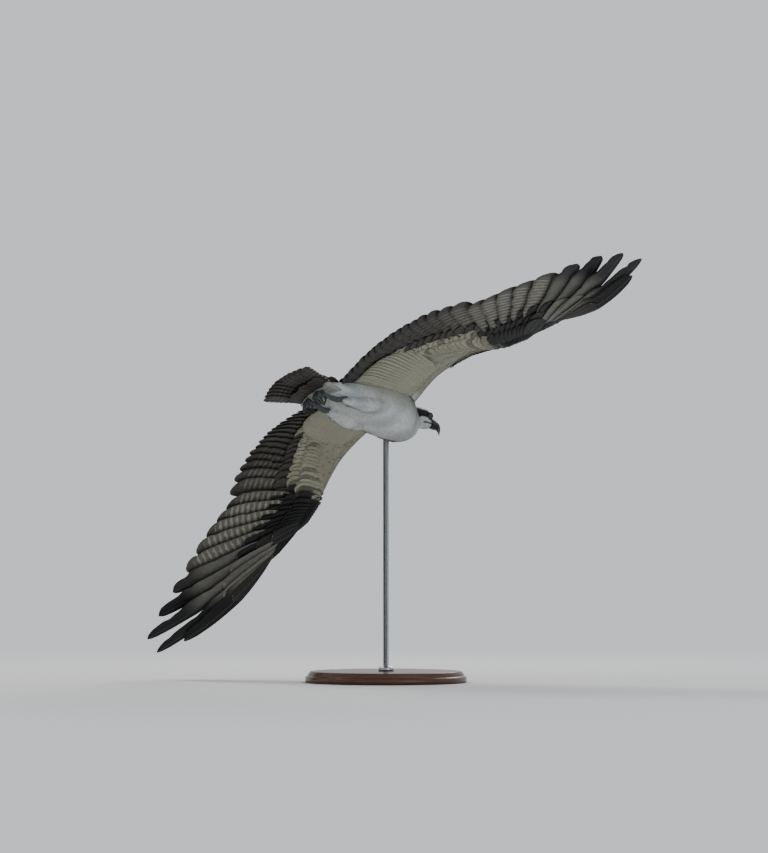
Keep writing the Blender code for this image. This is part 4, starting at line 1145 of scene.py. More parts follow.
def wing_flesh(side):
    """Arm and hand from inside the trunk to the last quill, thin towards the quills."""
    profile = ((0.0, 0.30), (0.04, 0.62), (0.12, 0.86), (0.28, 1.00), (0.50, 0.98), (0.66, 0.80),
               (0.82, 0.50), (1.0, 0.12))
    sections = []
    for k in range(-3, QUILLS):
        if k < 0:
            root = Vector(SHOULDER).lerp(arm_root(0), (k + 3) / 3.0)
            rear = root + Vector((-0.050, 0.004, -0.004))
            over = Vector((0.0, 0.0, 1.0))
        else:
            root, rear, over = FAN.point(k, 0.0), FAN.point(k, 0.13), FAN.frame(k, 0.0)[2]
        front = at_span(LEADING_EDGE, root.y)
        front = front.lerp(root, min(0.004 / max((root - front).length, 1e-6), 0.5))
        half = max(core_half(k) - COAT_DEPTH, 0.42 * core_half(k))
        sections.append((front, root, rear, over, half))
    front, root, rear, over, half = sections[-1]
    tip = FAN.point(QUILLS - 1, 0.08)
    sections.append((tip + (front - root) * 0.45, tip, tip + (rear - root) * 0.4, over, half * 0.7))
    rings = []
    for front, root, rear, over, half in sections:
        top, bottom = [], []
        for c, h in profile:
            place = front.lerp(root, c / 0.66) if c < 0.66 else root.lerp(rear, (c - 0.66) / 0.34)
            top.append(place + over * (half * h))
            bottom.append(place - over * (half * h))
        rings.append(lift_wing([tuple(v) for v in top + bottom[::-1]], side))
    return loft(rings)


def thigh_flesh(side):
    knee, heel = Vector(KNEE), Vector(HEEL)
    along = (heel - knee).normalized()
    line = [knee - along * 0.045] + [knee.lerp(heel, s) for s in (0.0, 0.25, 0.50, 0.75, THIGH_END)]
    line[0].z += 0.024
    line[1].z += 0.009
    line[2].z += 0.004
    radii = (0.012, THIGH_RADIUS * 0.92, THIGH_RADIUS, THIGH_RADIUS * 0.82, THIGH_RADIUS * 0.60,
             SHANK_RADIUS * 1.12)
    radii = [r - min(COAT_DEPTH, 0.3 * r) for r in radii]
    verts, faces = tube(smooth_rows(line, 16), smooth_values(radii, 16), 20)
    verts[:, 1] *= side
    return verts, faces


def remeshed(name, bodies, voxel, rounds):
    """One closed surface round all the bodies, made of even faces and smoothed."""
    mesh = mesh_from(name, *joined(bodies), in_bird=False)
    outward(mesh)
    made = link(name, mesh)
    remesh = made.modifiers.new("remesh", "REMESH")
    remesh.mode = "VOXEL"
    remesh.voxel_size = voxel
    smooth = made.modifiers.new("smooth", "SMOOTH")
    smooth.factor = 0.5
    smooth.iterations = rounds
    depsgraph = bpy.context.evaluated_depsgraph_get()
    result = bpy.data.meshes.new_from_object(made.evaluated_get(depsgraph))
    bpy.data.objects.remove(made, do_unlink=True)
    return result


def refine(mesh, inside, times):
    """Split the faces whose middle is inside a region, so that fine forms fit there."""
    with edited(mesh) as work:
        for _ in range(times):
            chosen = [f for f in work.faces if inside(f.calc_center_median())]
            edges = list({e for f in chosen for e in f.edges})
            bmesh.ops.subdivide_edges(work, edges=edges, cuts=1, use_grid_fill=True)
        bmesh.ops.triangulate(work, faces=[f for f in work.faces if len(f.verts) > 4])


def ease_thighs(mesh):
    """Soften the creases between the thighs and the belly, as loose feathers do."""
    low, high = HEEL[0] + 0.045, KNEE[0] + 0.08
    with edited(mesh) as work:
        chosen = [v for v in work.verts
                  if low < v.co.x < high and v.co.z < 0.03 and abs(v.co.y) < WING_COAT_FROM]
        for _ in range(12):
            bmesh.ops.smooth_vert(work, verts=chosen, factor=0.5, use_axis_x=True, use_axis_y=True,
                                  use_axis_z=True)


def head_forms(points):
    """Brow, eye hollow, cheek and line of the mouth, as moves of the head's skin."""
    h = to_head(points)
    middle = h * (1.0, 0.0, 1.0)
    away = h / np.linalg.norm(h, axis=1)[:, None]
    side = np.abs(h[:, 1])
    eye = np.array(EYE_AT)
    gap = np.sqrt((h[:, 0] - eye[0]) ** 2 + (h[:, 2] - eye[2]) ** 2)
    lateral = smoothstep(side, 0.005, 0.012)
    hollow = -0.0022 * np.exp(-(gap / 0.0078) ** 2) * lateral
    along_brow = (h[:, 2] - (eye[2] + 0.0088)) - 0.10 * (h[:, 0] - eye[0])
    brow_length = np.exp(-((h[:, 0] - 0.011) / 0.0125) ** 2)
    brow = 0.0013 * np.exp(-(along_brow / 0.0026) ** 2) * brow_length * lateral
    cheek_gap = ((h[:, 0] + 0.002) / 0.010) ** 2 + ((h[:, 2] + 0.008) / 0.007) ** 2
    cheek = 0.0009 * np.exp(-cheek_gap) * lateral
    crease = np.exp(-(over_mouth(h[:, 0], h[:, 2]) / 0.0009) ** 2)
    mouth = -0.0011 * crease * smoothstep(h[:, 0], 0.006, 0.012)
    near = smoothstep(h[:, 0], -0.020, -0.012) * (np.linalg.norm(middle, axis=1) < 0.06)
    move = (hollow + brow + cheek + mouth) * near
    turn = np.array(HEAD.to_3x3())
    return points + (away * move[:, None]) @ turn.T


def coat_lie(points, normals):
    """Direction in which the coat lies at points of the bird, and how squarely the skin faces it."""
    span = np.abs(points[:, 1])
    places = np.linspace(0.0, QUILLS - 1, 60)
    spans = np.array([FAN.straight(p, 0.0).y for p in places])
    ways = np.array([tuple(FAN.frame(p, 0.2)[0]) for p in places])
    quill = np.stack([np.interp(span, spans, ways[:, i]) for i in range(3)], axis=1)
    quill[:, 1] *= np.sign(points[:, 1])
    back = np.tile((-1.0, 0.0, 0.0), (len(points), 1))
    h = to_head(points)
    head_back = np.tile(np.array(HEAD.to_3x3() @ Vector((-1.0, 0.0, 0.0))), (len(points), 1))
    lie = blend(back, head_back, smoothstep(h[:, 0], -0.045, -0.010))
    lie = blend(lie, quill, smoothstep(span, 0.045, 0.075))
    square = np.abs(np.sum(lie * normals, axis=1)) / np.linalg.norm(lie, axis=1)
    # On an edge that faces forwards the feathers part and go over it and under it
    parted = smoothstep(square, 0.5, 0.9) * np.tanh(8.0 * normals[:, 2])
    lie[:, 2] += parted
    return lie, square


def tract_weights(points, normals):
    """For each tract of the coat, 1 where its feathers are rooted and 0 elsewhere."""
    h = to_head(points)
    span = np.abs(points[:, 1])
    flesh = span > WING_COAT_FROM
    head = (h[:, 0] > HEAD_COAT_FROM) & ~flesh
    neck = (h[:, 0] > -0.047) & ~flesh & ~head
    eye = np.array(EYE_AT)
    rim = bpy.context.scene.osprey_head.lid_radius + 0.0006
    bare = (np.hypot(h[:, 0] - eye[0], h[:, 2] - eye[2]) < rim) & (np.abs(h[:, 1]) > 0.008)
    bill_face = h[:, 0] > 0.0228
    trunk = ~flesh & ~head & ~neck & (points[:, 0] > -0.335)
    over = normals[:, 2] > 0.10
    upper = normals[:, 2] > 0.0
    weights = {
        "head": head & ~bare & ~bill_face,
        "neck": neck,
        "back": trunk & over,
        "breast": trunk & ~over,
    }
    for word, side in SIDES.items():
        here = flesh & (np.sign(points[:, 1]) == side)
        weights["wing_over_" + word] = here & upper
        weights["wing_under_" + word] = here & ~upper
    return weights


def feather_size(points, square):
    """Share of its full length that a feather has, smaller where the skin faces the lie squarely."""
    h = to_head(points)
    span = np.abs(points[:, 1])
    behind = leading_x(span) - points[:, 0]
    wing = 0.17 + 0.43 * smoothstep(behind, 0.004, 0.024) + 0.40 * smoothstep(behind, 0.012, 0.060)
    wing = wing * (1.0 - 0.25 * smoothstep(span, 0.30, 0.42))
    trunk = 0.62 + 0.38 * smoothstep(-points[:, 0], -0.02, 0.10)
    trunk = trunk * (1.0 - 0.30 * smoothstep(-points[:, 0], 0.24, 0.32))
    face = 1.0 - 0.45 * smoothstep(h[:, 0], 0.002, 0.020)
    size = np.where(span > WING_COAT_FROM, wing, trunk)
    size = np.where(h[:, 0] > HEAD_COAT_FROM, face, size)
    return size * (1.0 - 0.66 * smoothstep(square, 0.50, 0.90))


def store(mesh, name, kind, domain, values):
    data = mesh.attributes.get(name) or mesh.attributes.new(name, kind, domain)
    key = {"FLOAT": "value", "FLOAT_COLOR": "color", "FLOAT_VECTOR": "vector", "FLOAT2": "vector"}[kind]
    values = np.asarray(values, np.float32)
    if kind == "FLOAT_COLOR" and values.shape[1] == 3:
        values = np.concatenate([values, np.ones((len(values), 1), np.float32)], axis=1)
    data.data.foreach_set(key, values.ravel())


def corner_points(mesh):
    """For each corner of each face, the number of its point."""
    numbers = np.zeros(len(mesh.loops), np.int32)
    mesh.loops.foreach_get("vertex_index", numbers)
    return numbers


def vertex_array(mesh, key="co"):
    values = np.zeros(len(mesh.vertices) * 3, np.float32)
    if key == "co":
        mesh.vertices.foreach_get("co", values)
    else:
        mesh.vertex_normals.foreach_get("vector", values)
    return values.reshape(-1, 3).astype(float)


def unwrap(made):
    """UV map OFBake from the shape of the skin itself."""
    bpy.context.view_layer.objects.active = made
    made.select_set(True)
    made.data.uv_layers.new(name="OFBake")
    bpy.ops.object.mode_set(mode="EDIT")
    bpy.ops.mesh.select_all(action="SELECT")
    bpy.ops.uv.smart_project(angle_limit=math.radians(75.0), island_margin=0.004)
    bpy.ops.object.mode_set(mode="OBJECT")
    made.select_set(False)


def build_skin():
    """One skin over trunk, neck, head, thighs and the flesh of both wings."""
    bodies = [trunk_body()]
    bodies += [wing_flesh(side) for side in SIDES.values()]
    bodies += [thigh_flesh(side) for side in SIDES.values()]
    mesh = remeshed("body_skin", bodies, SKIN_VOXEL, 4)
    ease_thighs(mesh)
    centre = HEAD @ Vector((0.004, 0.0, 0.0))
    refine(mesh, lambda p: (p - centre).length < 0.034 and (HEAD.inverted() @ p).x > -0.016, 1)
    points = head_forms(vertex_array(mesh))
    mesh.vertices.foreach_set("co", points.astype(np.float32).ravel())
    mesh.update()
    normals = vertex_array(mesh, "normal")
    store(mesh, "plumage", "FLOAT_COLOR", "POINT", plumage(points, normals))
    lie, square = coat_lie(points, normals)
    store(mesh, "size", "FLOAT", "POINT", feather_size(points, square))
    turn = np.array(BIRD.to_3x3())
    store(mesh, "lie", "FLOAT_VECTOR", "POINT", lie @ turn.T)
    for name, weight in tract_weights(points, normals).items():
        store(mesh, "tract_" + name, "FLOAT", "POINT", weight.astype(float))
    mesh.vertices.foreach_set("co", to_world(points).astype(np.float32).ravel())
    mesh.update()
    made = add_piece("body_skin", mesh, finish(downy_skin),
                     ("torso", "neck", "head", "thigh_left", "thigh_right"))
    unwrap(made)
    return made


# Small feathers


def feather_shape(number):
    """A small closed feather, 1 long and 1 wide from its root, slightly cupped and frayed."""
    draw = random.Random(number)
    verts, uvs, faces = [], [], []
    rows = len(FEATHER_ROWS)
    for k, (v, half) in enumerate(FEATHER_ROWS):
        fray = 0.10 * half if k > 1 else 0.0
        left = half - draw.uniform(0.0, 2.0) * fray
        right = half - draw.uniform(0.0, 2.0) * fray
        ragged = draw.uniform(-0.03, 0.03) if k > 2 else 0.0
        for x, back in ((-left, ragged), (0.0, 0.0), (right, -ragged)):
            verts.append((x, v + back, -0.28 * x * x - 0.07 * v * v))
            uvs.append((x, v))
    for k in range(1, rows - 1):
        x, y, z = verts[3 * k + 1]
        verts.append((x, y, z - FEATHER_THICK))
        uvs.append((x, y))

    def beneath(k):
        return 3 * k + 1 if k in (0, rows - 1) else 3 * rows + k - 1

    for k in range(rows - 1):
        left, right, middle = 3 * k, 3 * k + 2, 3 * k + 1
        faces.append((left, middle, middle + 3, left + 3))
        faces.append((middle, right, right + 3, middle + 3))
        faces.append((left, left + 3, beneath(k + 1), beneath(k)))
        faces.append((beneath(k), beneath(k + 1), right + 3, right))
    mesh = bpy.data.meshes.new("small_feather")
    mesh.from_pydata(verts, [], faces)
    uv = mesh.uv_layers.new(name="vane")
    for loop in mesh.loops:
        uv.data[loop.index].uv = uvs[loop.vertex_index]
    mesh.update()
    return outward(mesh)


def feather_shapes():
    """A collection of a few shapes of small feather, for the coat to pick from."""
    held = bpy.data.collections.new("small_feathers")
    for number in range(FEATHER_SHAPES):
        held.objects.link(bpy.data.objects.new("small_feather_%d" % number, feather_shape(number)))
    return held


def coat_tree():
    """Geometry Nodes tree that sets feathers along the lie of the coat over one tract."""
    tree = bpy.data.node_groups.new("feather_tract", "GeometryNodeTree")
    for name, kind, value in COAT_INPUTS:
        made = tree.interface.new_socket(name, in_out="INPUT", socket_type=kind)
        if value is not None:
            made.default_value = value
    tree.interface.new_socket("Geometry", in_out="OUTPUT", socket_type="NodeSocketGeometry")
    add = partial(add_node, tree)
    given = add("NodeGroupInput").outputs
    read, store_as = "GeometryNodeInputNamedAttribute", "GeometryNodeStoreNamedAttribute"
    # Roots, each with its place on the skin's UV map, its shade and the skin's normal
    weight = add(read, {"Name": given["Tract"]}, data_type="FLOAT")
    gap = add("ShaderNodeMath", {0: given["Spacing"], 1: -2.0}, operation="POWER")
    roots = add("GeometryNodeDistributePointsOnFaces",
                {"Mesh": given["Geometry"], "Distance Min": given["Spacing"], "Density Max": gap,
                 "Density Factor": weight, "Seed": given["Seed"]}, distribute_method="POISSON").outputs
    place = add(read, {"Name": "OFBake"}, data_type="FLOAT_VECTOR")
    kept = add(store_as, {"Geometry": roots["Points"], "Name": "root_place", "Value": place},
               data_type="FLOAT_VECTOR", domain="POINT")
    shade = add("FunctionNodeRandomValue", {2: 0.90, 3: 1.06, "Seed": 3}, data_type="FLOAT")
    toned = add(store_as, {"Geometry": kept, "Name": "shade", "Value": shade},
                data_type="FLOAT", domain="POINT")
    faced = add(store_as, {"Geometry": toned, "Name": "coat_normal", "Value": roots["Normal"]},
                data_type="FLOAT_VECTOR", domain="POINT")
    bare = add("GeometryNodeRemoveAttribute", {"Geometry": faced, "Name": "OFBake"})
    # Each feather lies along the coat, lifted a little and turned a little aside
    lie = add(read, {"Name": "lie"}, data_type="FLOAT_VECTOR")
    facing = add("FunctionNodeAxesToRotation",
                 {"Primary Axis": roots["Normal"], "Secondary Axis": lie},
                 primary_axis="Z", secondary_axis="Y")
    minus = add("ShaderNodeMath", {0: given["Spread"], 1: -1.0}, operation="MULTIPLY")
    yaw = add("FunctionNodeRandomValue", {2: minus, 3: given["Spread"], "Seed": 5},
              data_type="FLOAT")
    low = add("ShaderNodeMath", {0: given["Lift"], 1: 0.8}, operation="MULTIPLY")
    high = add("ShaderNodeMath", {0: given["Lift"], 1: 1.2}, operation="MULTIPLY")
    pitch = add("FunctionNodeRandomValue", {2: low, 3: high, "Seed": 7}, data_type="FLOAT")
    angles = add("ShaderNodeCombineXYZ", {0: pitch, 2: yaw})
    tip = add("FunctionNodeEulerToRotation", {0: angles})
    turned = add("FunctionNodeRotateRotation", {0: facing, 1: tip}, rotation_space="LOCAL")
    share = add(read, {"Name": "size"}, data_type="FLOAT")
    vary = add("FunctionNodeRandomValue", {2: 0.86, 3: 1.14, "Seed": 9}, data_type="FLOAT")
    scale = add("ShaderNodeMath", {0: share, 1: vary}, operation="MULTIPLY")
    size = add("ShaderNodeCombineXYZ", {0: given["Width"], 1: given["Length"], 2: given["Width"]})
    sized = add("ShaderNodeVectorMath", {0: size, "Scale": scale}, operation="SCALE")
    feather = add("GeometryNodeCollectionInfo",
                  {"Collection": given["Feathers"], "Separate Children": True, "Reset Children": True},
                  transform_space="ORIGINAL")
    choice = add("FunctionNodeRandomValue", {4: 0, 5: FEATHER_SHAPES - 1, "Seed": 11},
                 data_type="INT")
    coat = add("GeometryNodeInstanceOnPoints",
               {"Points": bare, "Instance": feather, "Pick Instance": True, "Instance Index": choice,
                "Rotation": turned, "Scale": sized})
    real = add("GeometryNodeRealizeInstances", {"Geometry": coat})
    # The feather is a small patch round its root's place on the UV map
    local = add(read, {"Name": "vane"}, data_type="FLOAT_VECTOR")
    patch = add("ShaderNodeVectorMath", {0: local, "Scale": given["Patch"]}, operation="SCALE")
    root = add(read, {"Name": "root_place"}, data_type="FLOAT_VECTOR")
    placed = add("ShaderNodeVectorMath", {0: root, 1: patch}, operation="ADD")
    mapped = add(store_as, {"Geometry": real, "Name": "OFBake", "Value": placed},
                 data_type="FLOAT2", domain="CORNER")
    coated = add("GeometryNodeSetMaterial", {"Geometry": mapped, "Material": given["Material"]})
    add("NodeGroupOutput", {0: coated})
    return tree


def soften(mesh):
    """Turn the coat's normals towards those of the skin under it, so that it reads as down."""
    own = np.zeros(len(mesh.polygons) * 3, np.float32)
    mesh.polygons.foreach_get("normal", own)
    sizes = np.zeros(len(mesh.polygons), np.int32)
    mesh.polygons.foreach_get("loop_total", sizes)
    ground = np.zeros(len(mesh.vertices) * 3, np.float32)
    mesh.attributes["coat_normal"].data.foreach_get("vector", ground)
    ground = ground.reshape(-1, 3)[corner_points(mesh)]
    own = np.repeat(own.reshape(-1, 3), sizes, axis=0)
    facing = np.sum(own * ground, axis=1)
    facing = np.where(facing < -0.2, -1.0, 1.0)[:, None]
    softness = bpy.context.scene.osprey_feathers.softness
    turned = own * (1.0 - softness) + ground * facing * softness
    turned /= np.linalg.norm(turned, axis=1)[:, None]
    mesh.normals_split_custom_set(turned.astype(np.float32))
    mesh.attributes.remove(mesh.attributes["coat_normal"])


def build_coat(skin):
    """Small feathers over every tract of the skin."""
    feathers, tree = feather_shapes(), coat_tree()
    given = bpy.context.scene.osprey_feathers
    keys = {item.name: item.identifier for item in tree.interface.items_tree if item.in_out == "INPUT"}
    for seed, (name, spacing, length, width, lift, spread, slot) in enumerate(TRACTS):
        ground = link("ground", skin.data.copy())
        change = ground.modifiers.new("feathers", "NODES")
        change.node_group = tree
        values = {
            "Feathers": feathers, "Tract": "tract_" + name, "Spacing": spacing * MM * given.spacing,
            "Length": length * MM * given.length, "Width": width * MM * given.length,
            "Lift": math.radians(lift) * given.lift, "Spread": math.radians(spread), "Patch": UV_PATCH,
            "Material": finish(contour_feather_keratin), "Seed": seed + 1,
        }
        for key, value in values.items():
            change[keys[key]] = value
        ground.update_tag()
        depsgraph = bpy.context.evaluated_depsgraph_get()
        mesh = bpy.data.meshes.new_from_object(ground.evaluated_get(depsgraph),
                                               preserve_all_data_layers=True, depsgraph=depsgraph)
        bpy.data.objects.remove(ground, do_unlink=True)
        mesh.name = "feathers_" + name
        made = add_piece("feathers_" + name, mesh, finish(contour_feather_keratin))
        soften(made.data)
    for shape in list(feathers.objects):
        bpy.data.objects.remove(shape, do_unlink=True)
    bpy.data.collections.remove(feathers)


# Long feathers


class Feathers:
    """Collects long feathers as one mesh, with their colours and a UV strip for each face."""

    def __init__(self):
        self.verts, self.faces, self.vanes, self.strips = [], [], [], []
        self.ink, self.wash, self.bars = [], [], []
        self.count = 0
        sizes = bpy.context.scene.osprey_feathers
        self.shaft_half, self.half_thick = sizes.shaft_half, 0.5 * sizes.vane_thick

    def add(self, shaft, out, over, lead, trail, length, look, tilt=6.0, cup=0.05, splits=()):
        """One feather; out points to its leading side, and look gives its colours and bars."""
        rows, columns = len(shaft), len(ACROSS) + 2
        lean = math.tan(math.radians(tilt))
        start = len(self.verts)
        for under in (0, 1):
            for j in range(rows):
                s = j / (rows - 1.0)
                wide = max(lead[j] + trail[j], 1e-6)
                radius = self.shaft_half * (1.0 - 0.8 * s) * min(1.0, 300.0 * wide)
                offsets = []
                for c in ACROSS:
                    reach = lead[j] if c > 0.0 else trail[j]
                    offsets += [c * reach] if c else [-radius, 0.0, radius]
                for split, depth in splits:
                    offsets[0] += depth * max(0.0, 1.0 - abs(s - split) * rows * 0.5)
                for i, offset in enumerate(offsets):
                    bow = cup * wide * (2.0 * offset / wide) ** 2 * (1.0 - 0.5 * s)
                    rib = self.half_thick + (radius * 0.8 if i == RIDGE_COLUMN else 0.0)
                    height = offset * lean - bow + (-rib if under else rib)
                    self.verts.append(shaft[j] + out[j] * offset + over[j] * height)
                    self.vanes.append((offset, (1.0 - s) * length))
                    ink, wash, share = look(s, offset / wide, under)
                    self.ink.append(ink)
                    self.wash.append(wash)
                    self.bars.append(share)
            self.strips += [2 * self.count + under] * (rows * columns)
        self.close(start, rows, columns)
        self.count += 1

    def close(self, start, rows, columns):
        """Faces of both sides of the feather from vertex start on, and of its rim."""
        layer = rows * columns
        for j in range(rows - 1):
            for i in range(columns - 1):
                a = start + j * columns + i
                b = a + layer
                self.faces.append((a, a + 1, a + 1 + columns, a + columns))
                self.faces.append((b, b + columns, b + 1 + columns, b + 1))
        rim = [j * columns for j in range(rows)]
        rim += [(rows - 1) * columns + i for i in range(1, columns)]
        rim += [j * columns + columns - 1 for j in reversed(range(rows - 1))]
        rim += list(reversed(range(1, columns - 1)))
        for a, b in zip(rim, rim[1:] + rim[:1]):
            self.faces.append((start + a, start + b, start + b + layer, start + a + layer))

    def mesh(self, name, place):
        """The collected feathers as a mesh, their points put where place says."""
        mesh = mesh_from(name, place(np.array([tuple(v) for v in self.verts])), self.faces)
        store(mesh, "ink", "FLOAT_COLOR", "POINT", np.array(self.ink))
        store(mesh, "wash", "FLOAT_COLOR", "POINT", np.array(self.wash))
        store(mesh, "bars", "FLOAT", "POINT", np.array(self.bars))
        corners = corner_points(mesh)
        vanes = np.array(self.vanes)[corners]
        mesh.uv_layers.new(name="vane").data.foreach_set("uv", vanes.astype(np.float32).ravel())
        strips = np.array(self.strips)[corners]
        across = int(math.ceil(math.sqrt(2 * self.count * STRIP_ASPECT)))
        down = int(math.ceil(2.0 * self.count / across))
        u = (vanes[:, 0] / VANE_ROOM[0] + 0.5).clip(0.02, 0.98)
        v = (vanes[:, 1] / VANE_ROOM[1]).clip(0.02, 0.98)
        grid = np.stack([(strips % across + u) / across, (strips // across + v) / down], axis=1)
        mesh.uv_layers.new(name="OFBake").data.foreach_set("uv", grid.astype(np.float32).ravel())
        return outward(mesh)


def widths(stations, s):
    """Leading and trailing width of a vane at share s of its length."""
    marks = np.array(stations)
    lead = np.interp(s, marks[:, 0], marks[:, 1])
    trail = np.interp(s, marks[:, 0], marks[:, 2])
    return lead, trail


def finger_stations(notch):
    """Stations of a finger's vane, whose trailing web narrows at share notch of its length."""
    rest = 1.0 - notch
    return (
        (0.00, 0.0022, 0.0022), (0.16, 0.0060, 0.0130), (0.34, 0.0080, 0.0230),
        (notch - 0.04, 0.0090, 0.0285), (notch + 0.12 * rest, 0.0080, 0.0205),
        (notch + 0.55 * rest, 0.0074, 0.0180), (notch + 0.80 * rest, 0.0062, 0.0138),
        (notch + 0.94 * rest, 0.0038, 0.0074), (1.00, 0.0008, 0.0012),
    )


def between(first, second, share):
    return [a * (1.0 - share) + b * share for a, b in zip(first, second)]


def flight_look(k, length, draw):
    """Colours of quill k: faintly spotted near the body, pale inner primaries, black fingers."""
    inner = float(smoothstep(k, ARM_QUILLS - 4.0, ARM_QUILLS + 1.5))
    finger = float(smoothstep(k, QUILLS - 6.4, QUILLS - 4.6))
    inks = between(paints("quill_top", "quill_under"), paints("hand_top", "hand_under"), inner)
    inks = between(inks, paints("finger_top", "carpal"), finger)
    washes = paints("quill_top_bar", "quill_under_bar")
    washes = between(washes, paints("hand_top_bar", "hand_under_bar"), inner)
    washes = between(washes, paints("finger_top", "carpal"), finger)
    dusk, window, worn = paints("deep_brown", "finger_base", "worn_tip")
    shade = draw.uniform(0.90, 1.10)
    strength = 0.10 + 0.28 * float(smoothstep(k, 4.0, ARM_QUILLS)) + 0.14 * inner
    strength += draw.uniform(-0.06, 0.06)
    dark_end = 0.026 / length
    notch = FINGER_NOTCH[k - (QUILLS - len(FINGER_NOTCH))] if k >= QUILLS - len(FINGER_NOTCH) else 0.9

    def look(s, aside, under):
        end = float(smoothstep(1.0 - s, dark_end * 0.5, dark_end * 1.5))
        # Pale spots lie on the trailing web, between the dark shaft and the dark edge
        spot = float(smoothstep(-aside, 0.02, 0.16) * (1.0 - smoothstep(-aside, 0.40, 0.62)))
        web = 0.25 + 0.75 * spot if under else 0.30 * spot
        share = strength * end * web * (1.0 - finger)
        ink = inks[under] * shade
        if under:
            ink = ink * (0.55 + 0.45 * end) + dusk * (0.45 * (1.0 - end) * (1.0 - finger))
            base = finger * float(1.0 - smoothstep(s, notch - 0.22, notch - 0.02))
            base *= 0.25 + 0.60 * float(smoothstep(-aside, -0.05, 0.10))
            ink = ink * (1.0 - base) + window * base
        tip = float(smoothstep(s, 1.0 - 0.003 / length, 1.0)) * (1.0 - finger)
        if tip > 0.0:
            return ink, worn, tip
        return ink, washes[under] * shade, share

    return look


def plain_look(dark, rim, rim_at=0.95, spots=0.0):
    """Colours of a covert: one tone, a rim of another at its tip and a few faint bars."""

    def look(s, aside, under):
        return dark, rim, max(float(smoothstep(s, rim_at, rim_at + 0.035)), spots)

    return look


def fan_feather(feathers, place, stations, span, rise, rows, look, tilt, draw, wide=1.0, splits=0):
    """A feather that lies on the wing's sheet, from span[0] to span[1] of the quill there."""
    shaft, out, over, lead, trail = [], [], [], [], []
    for s in np.linspace(0.0, 1.0, rows):
        s = float(s) ** 0.85
        t = span[0] + (span[1] - span[0]) * s
        _, away, up = FAN.frame(place, t)
        ease = 1.0 - (1.0 - s) ** 2
        shaft.append(FAN.point(place, t) + up * (rise[0] + (rise[1] - rise[0]) * ease))
        out.append(away)
        over.append(up)
        a, b = widths(stations, s)
        lead.append(a * wide)
        trail.append(b * wide)
    length = FAN.length(place) * (span[1] - span[0])
    cuts = [(draw.uniform(0.45, 0.93), draw.uniform(0.0015, 0.0045)) for _ in range(splits)]
    feathers.add(shaft, out, over, lead, trail, length, look, tilt, 0.05, cuts)


def covert_look(point, face, draw):
    """Colours of a covert whose middle is at a point of the level left wing."""
    at = np.array([tuple(point)])
    tone = (over_wing(at) if face > 0 else under_wing(at))[0] * draw.uniform(0.93, 1.05)
    if face > 0:
        return plain_look(tone, tone * 0.45 + paint("pale_edge") * 0.55, 0.955)
    # The pale lining in these rims carries painted shade under the wing
    return plain_look(tone, tone * 0.7 + paint("lining_pale") * 0.3, 0.93)


def build_wing_feathers(word):
    """Flight feathers and the rows of coverts under and over them for one wing."""
    side = SIDES[word]
    draw = random.Random(40 + side)
    flight, coverts = Feathers(), Feathers()
    tilt = math.degrees(bpy.context.scene.osprey_feathers.vane_tilt)
    for k in range(QUILLS):
        finger = k - (QUILLS - len(FINGER_NOTCH))
        stations = finger_stations(FINGER_NOTCH[finger]) if finger >= 0 else QUILL_STATIONS
        wide = 1.12
        if finger < 0:
            wide += (PRIMARY_WIDTH - 1.0) * float(smoothstep(k, ARM_QUILLS - WIDTH_GROWTH, ARM_QUILLS + 1))
        elif finger < 2:
            wide = 1.36 - 0.16 * finger
        look = flight_look(k, FAN.length(k), draw)
        fan_feather(flight, k, stations, (0.0, 1.0 + draw.uniform(-0.012, 0.012)), (0.0, 0.0), 44, look,
                    tilt, draw, wide, 2 if k > 2 else 0)
    for face, count, first, last, start, end, low, high, rows in COVERT_TIERS:
        step = (last - first) / (count - 1)
        for j in range(count):
            place = min(max(first + step * j + draw.uniform(-0.1, 0.1), 0.05), QUILLS - 1.05)
            thin = core_half(place) / CORE_HALF[1]
            rise = (face * low * MM * thin, face * high * MM * (0.35 + 0.65 * min(thin, 1.0)))
            span = (start, end + draw.uniform(-0.015, 0.015))
            look = covert_look(FAN.point(place, 0.3 * start + 0.7 * end), face, draw)
            gap = (FAN.straight(place + 0.5, 0.3) - FAN.straight(place - 0.5, 0.3)).length * step
            wide = min(max(gap / 0.0100, 0.75), 1.7)
            fan_feather(coverts, place, COVERT_STATIONS, span, rise, rows, look, 5.0, draw, wide)
    for j in range(THUMB_FEATHERS):
        alula_feather(coverts, j)

    def place(points):
        return lift_wing(points, side)

    keratin = finish(flight_feather_keratin)
    add_piece("flight_feathers_" + word, flight.mesh("flight_" + word, place), keratin,
              ("wing_" + word,))
    add_piece("coverts_" + word, coverts.mesh("coverts_" + word, place), keratin)


def alula_feather(feathers, j):
    """One feather of the thumb, lying out along the leading edge over the hand."""
    start = at_span(LEADING_EDGE, WRIST[1] + 0.006) + Vector((-0.014 - 0.003 * j, 0.0, -0.001))
    end = at_span(LEADING_EDGE, WRIST[1] + 0.100 - 0.018 * j)
    end += Vector((-0.006 - 0.006 * j, 0.0, 0.0105 - 0.0018 * j))
    along = (end - start).normalized()
    over = FAN.frame(ARM_QUILLS + 3, 0.0)[2]
    out = along.cross(over).normalized()
    if out.x < 0.0:
        out.negate()
    over = (over - along * over.dot(along)).normalized()
    shares = np.linspace(0.0, 1.0, THUMB_ROWS)
    swell = [math.sin(math.pi * min(0.12 + s * 0.8, 0.94)) for s in shares]
    lead, trail = [0.0050 * w for w in swell], [0.0085 * w for w in swell]
    shaft = [start.lerp(end, float(s)) for s in shares]
    feathers.add(shaft, [out] * THUMB_ROWS, [over] * THUMB_ROWS, lead, trail, (end - start).length,
                 plain_look(*paints("deep_brown", "carpal"), 0.98), 3.0)


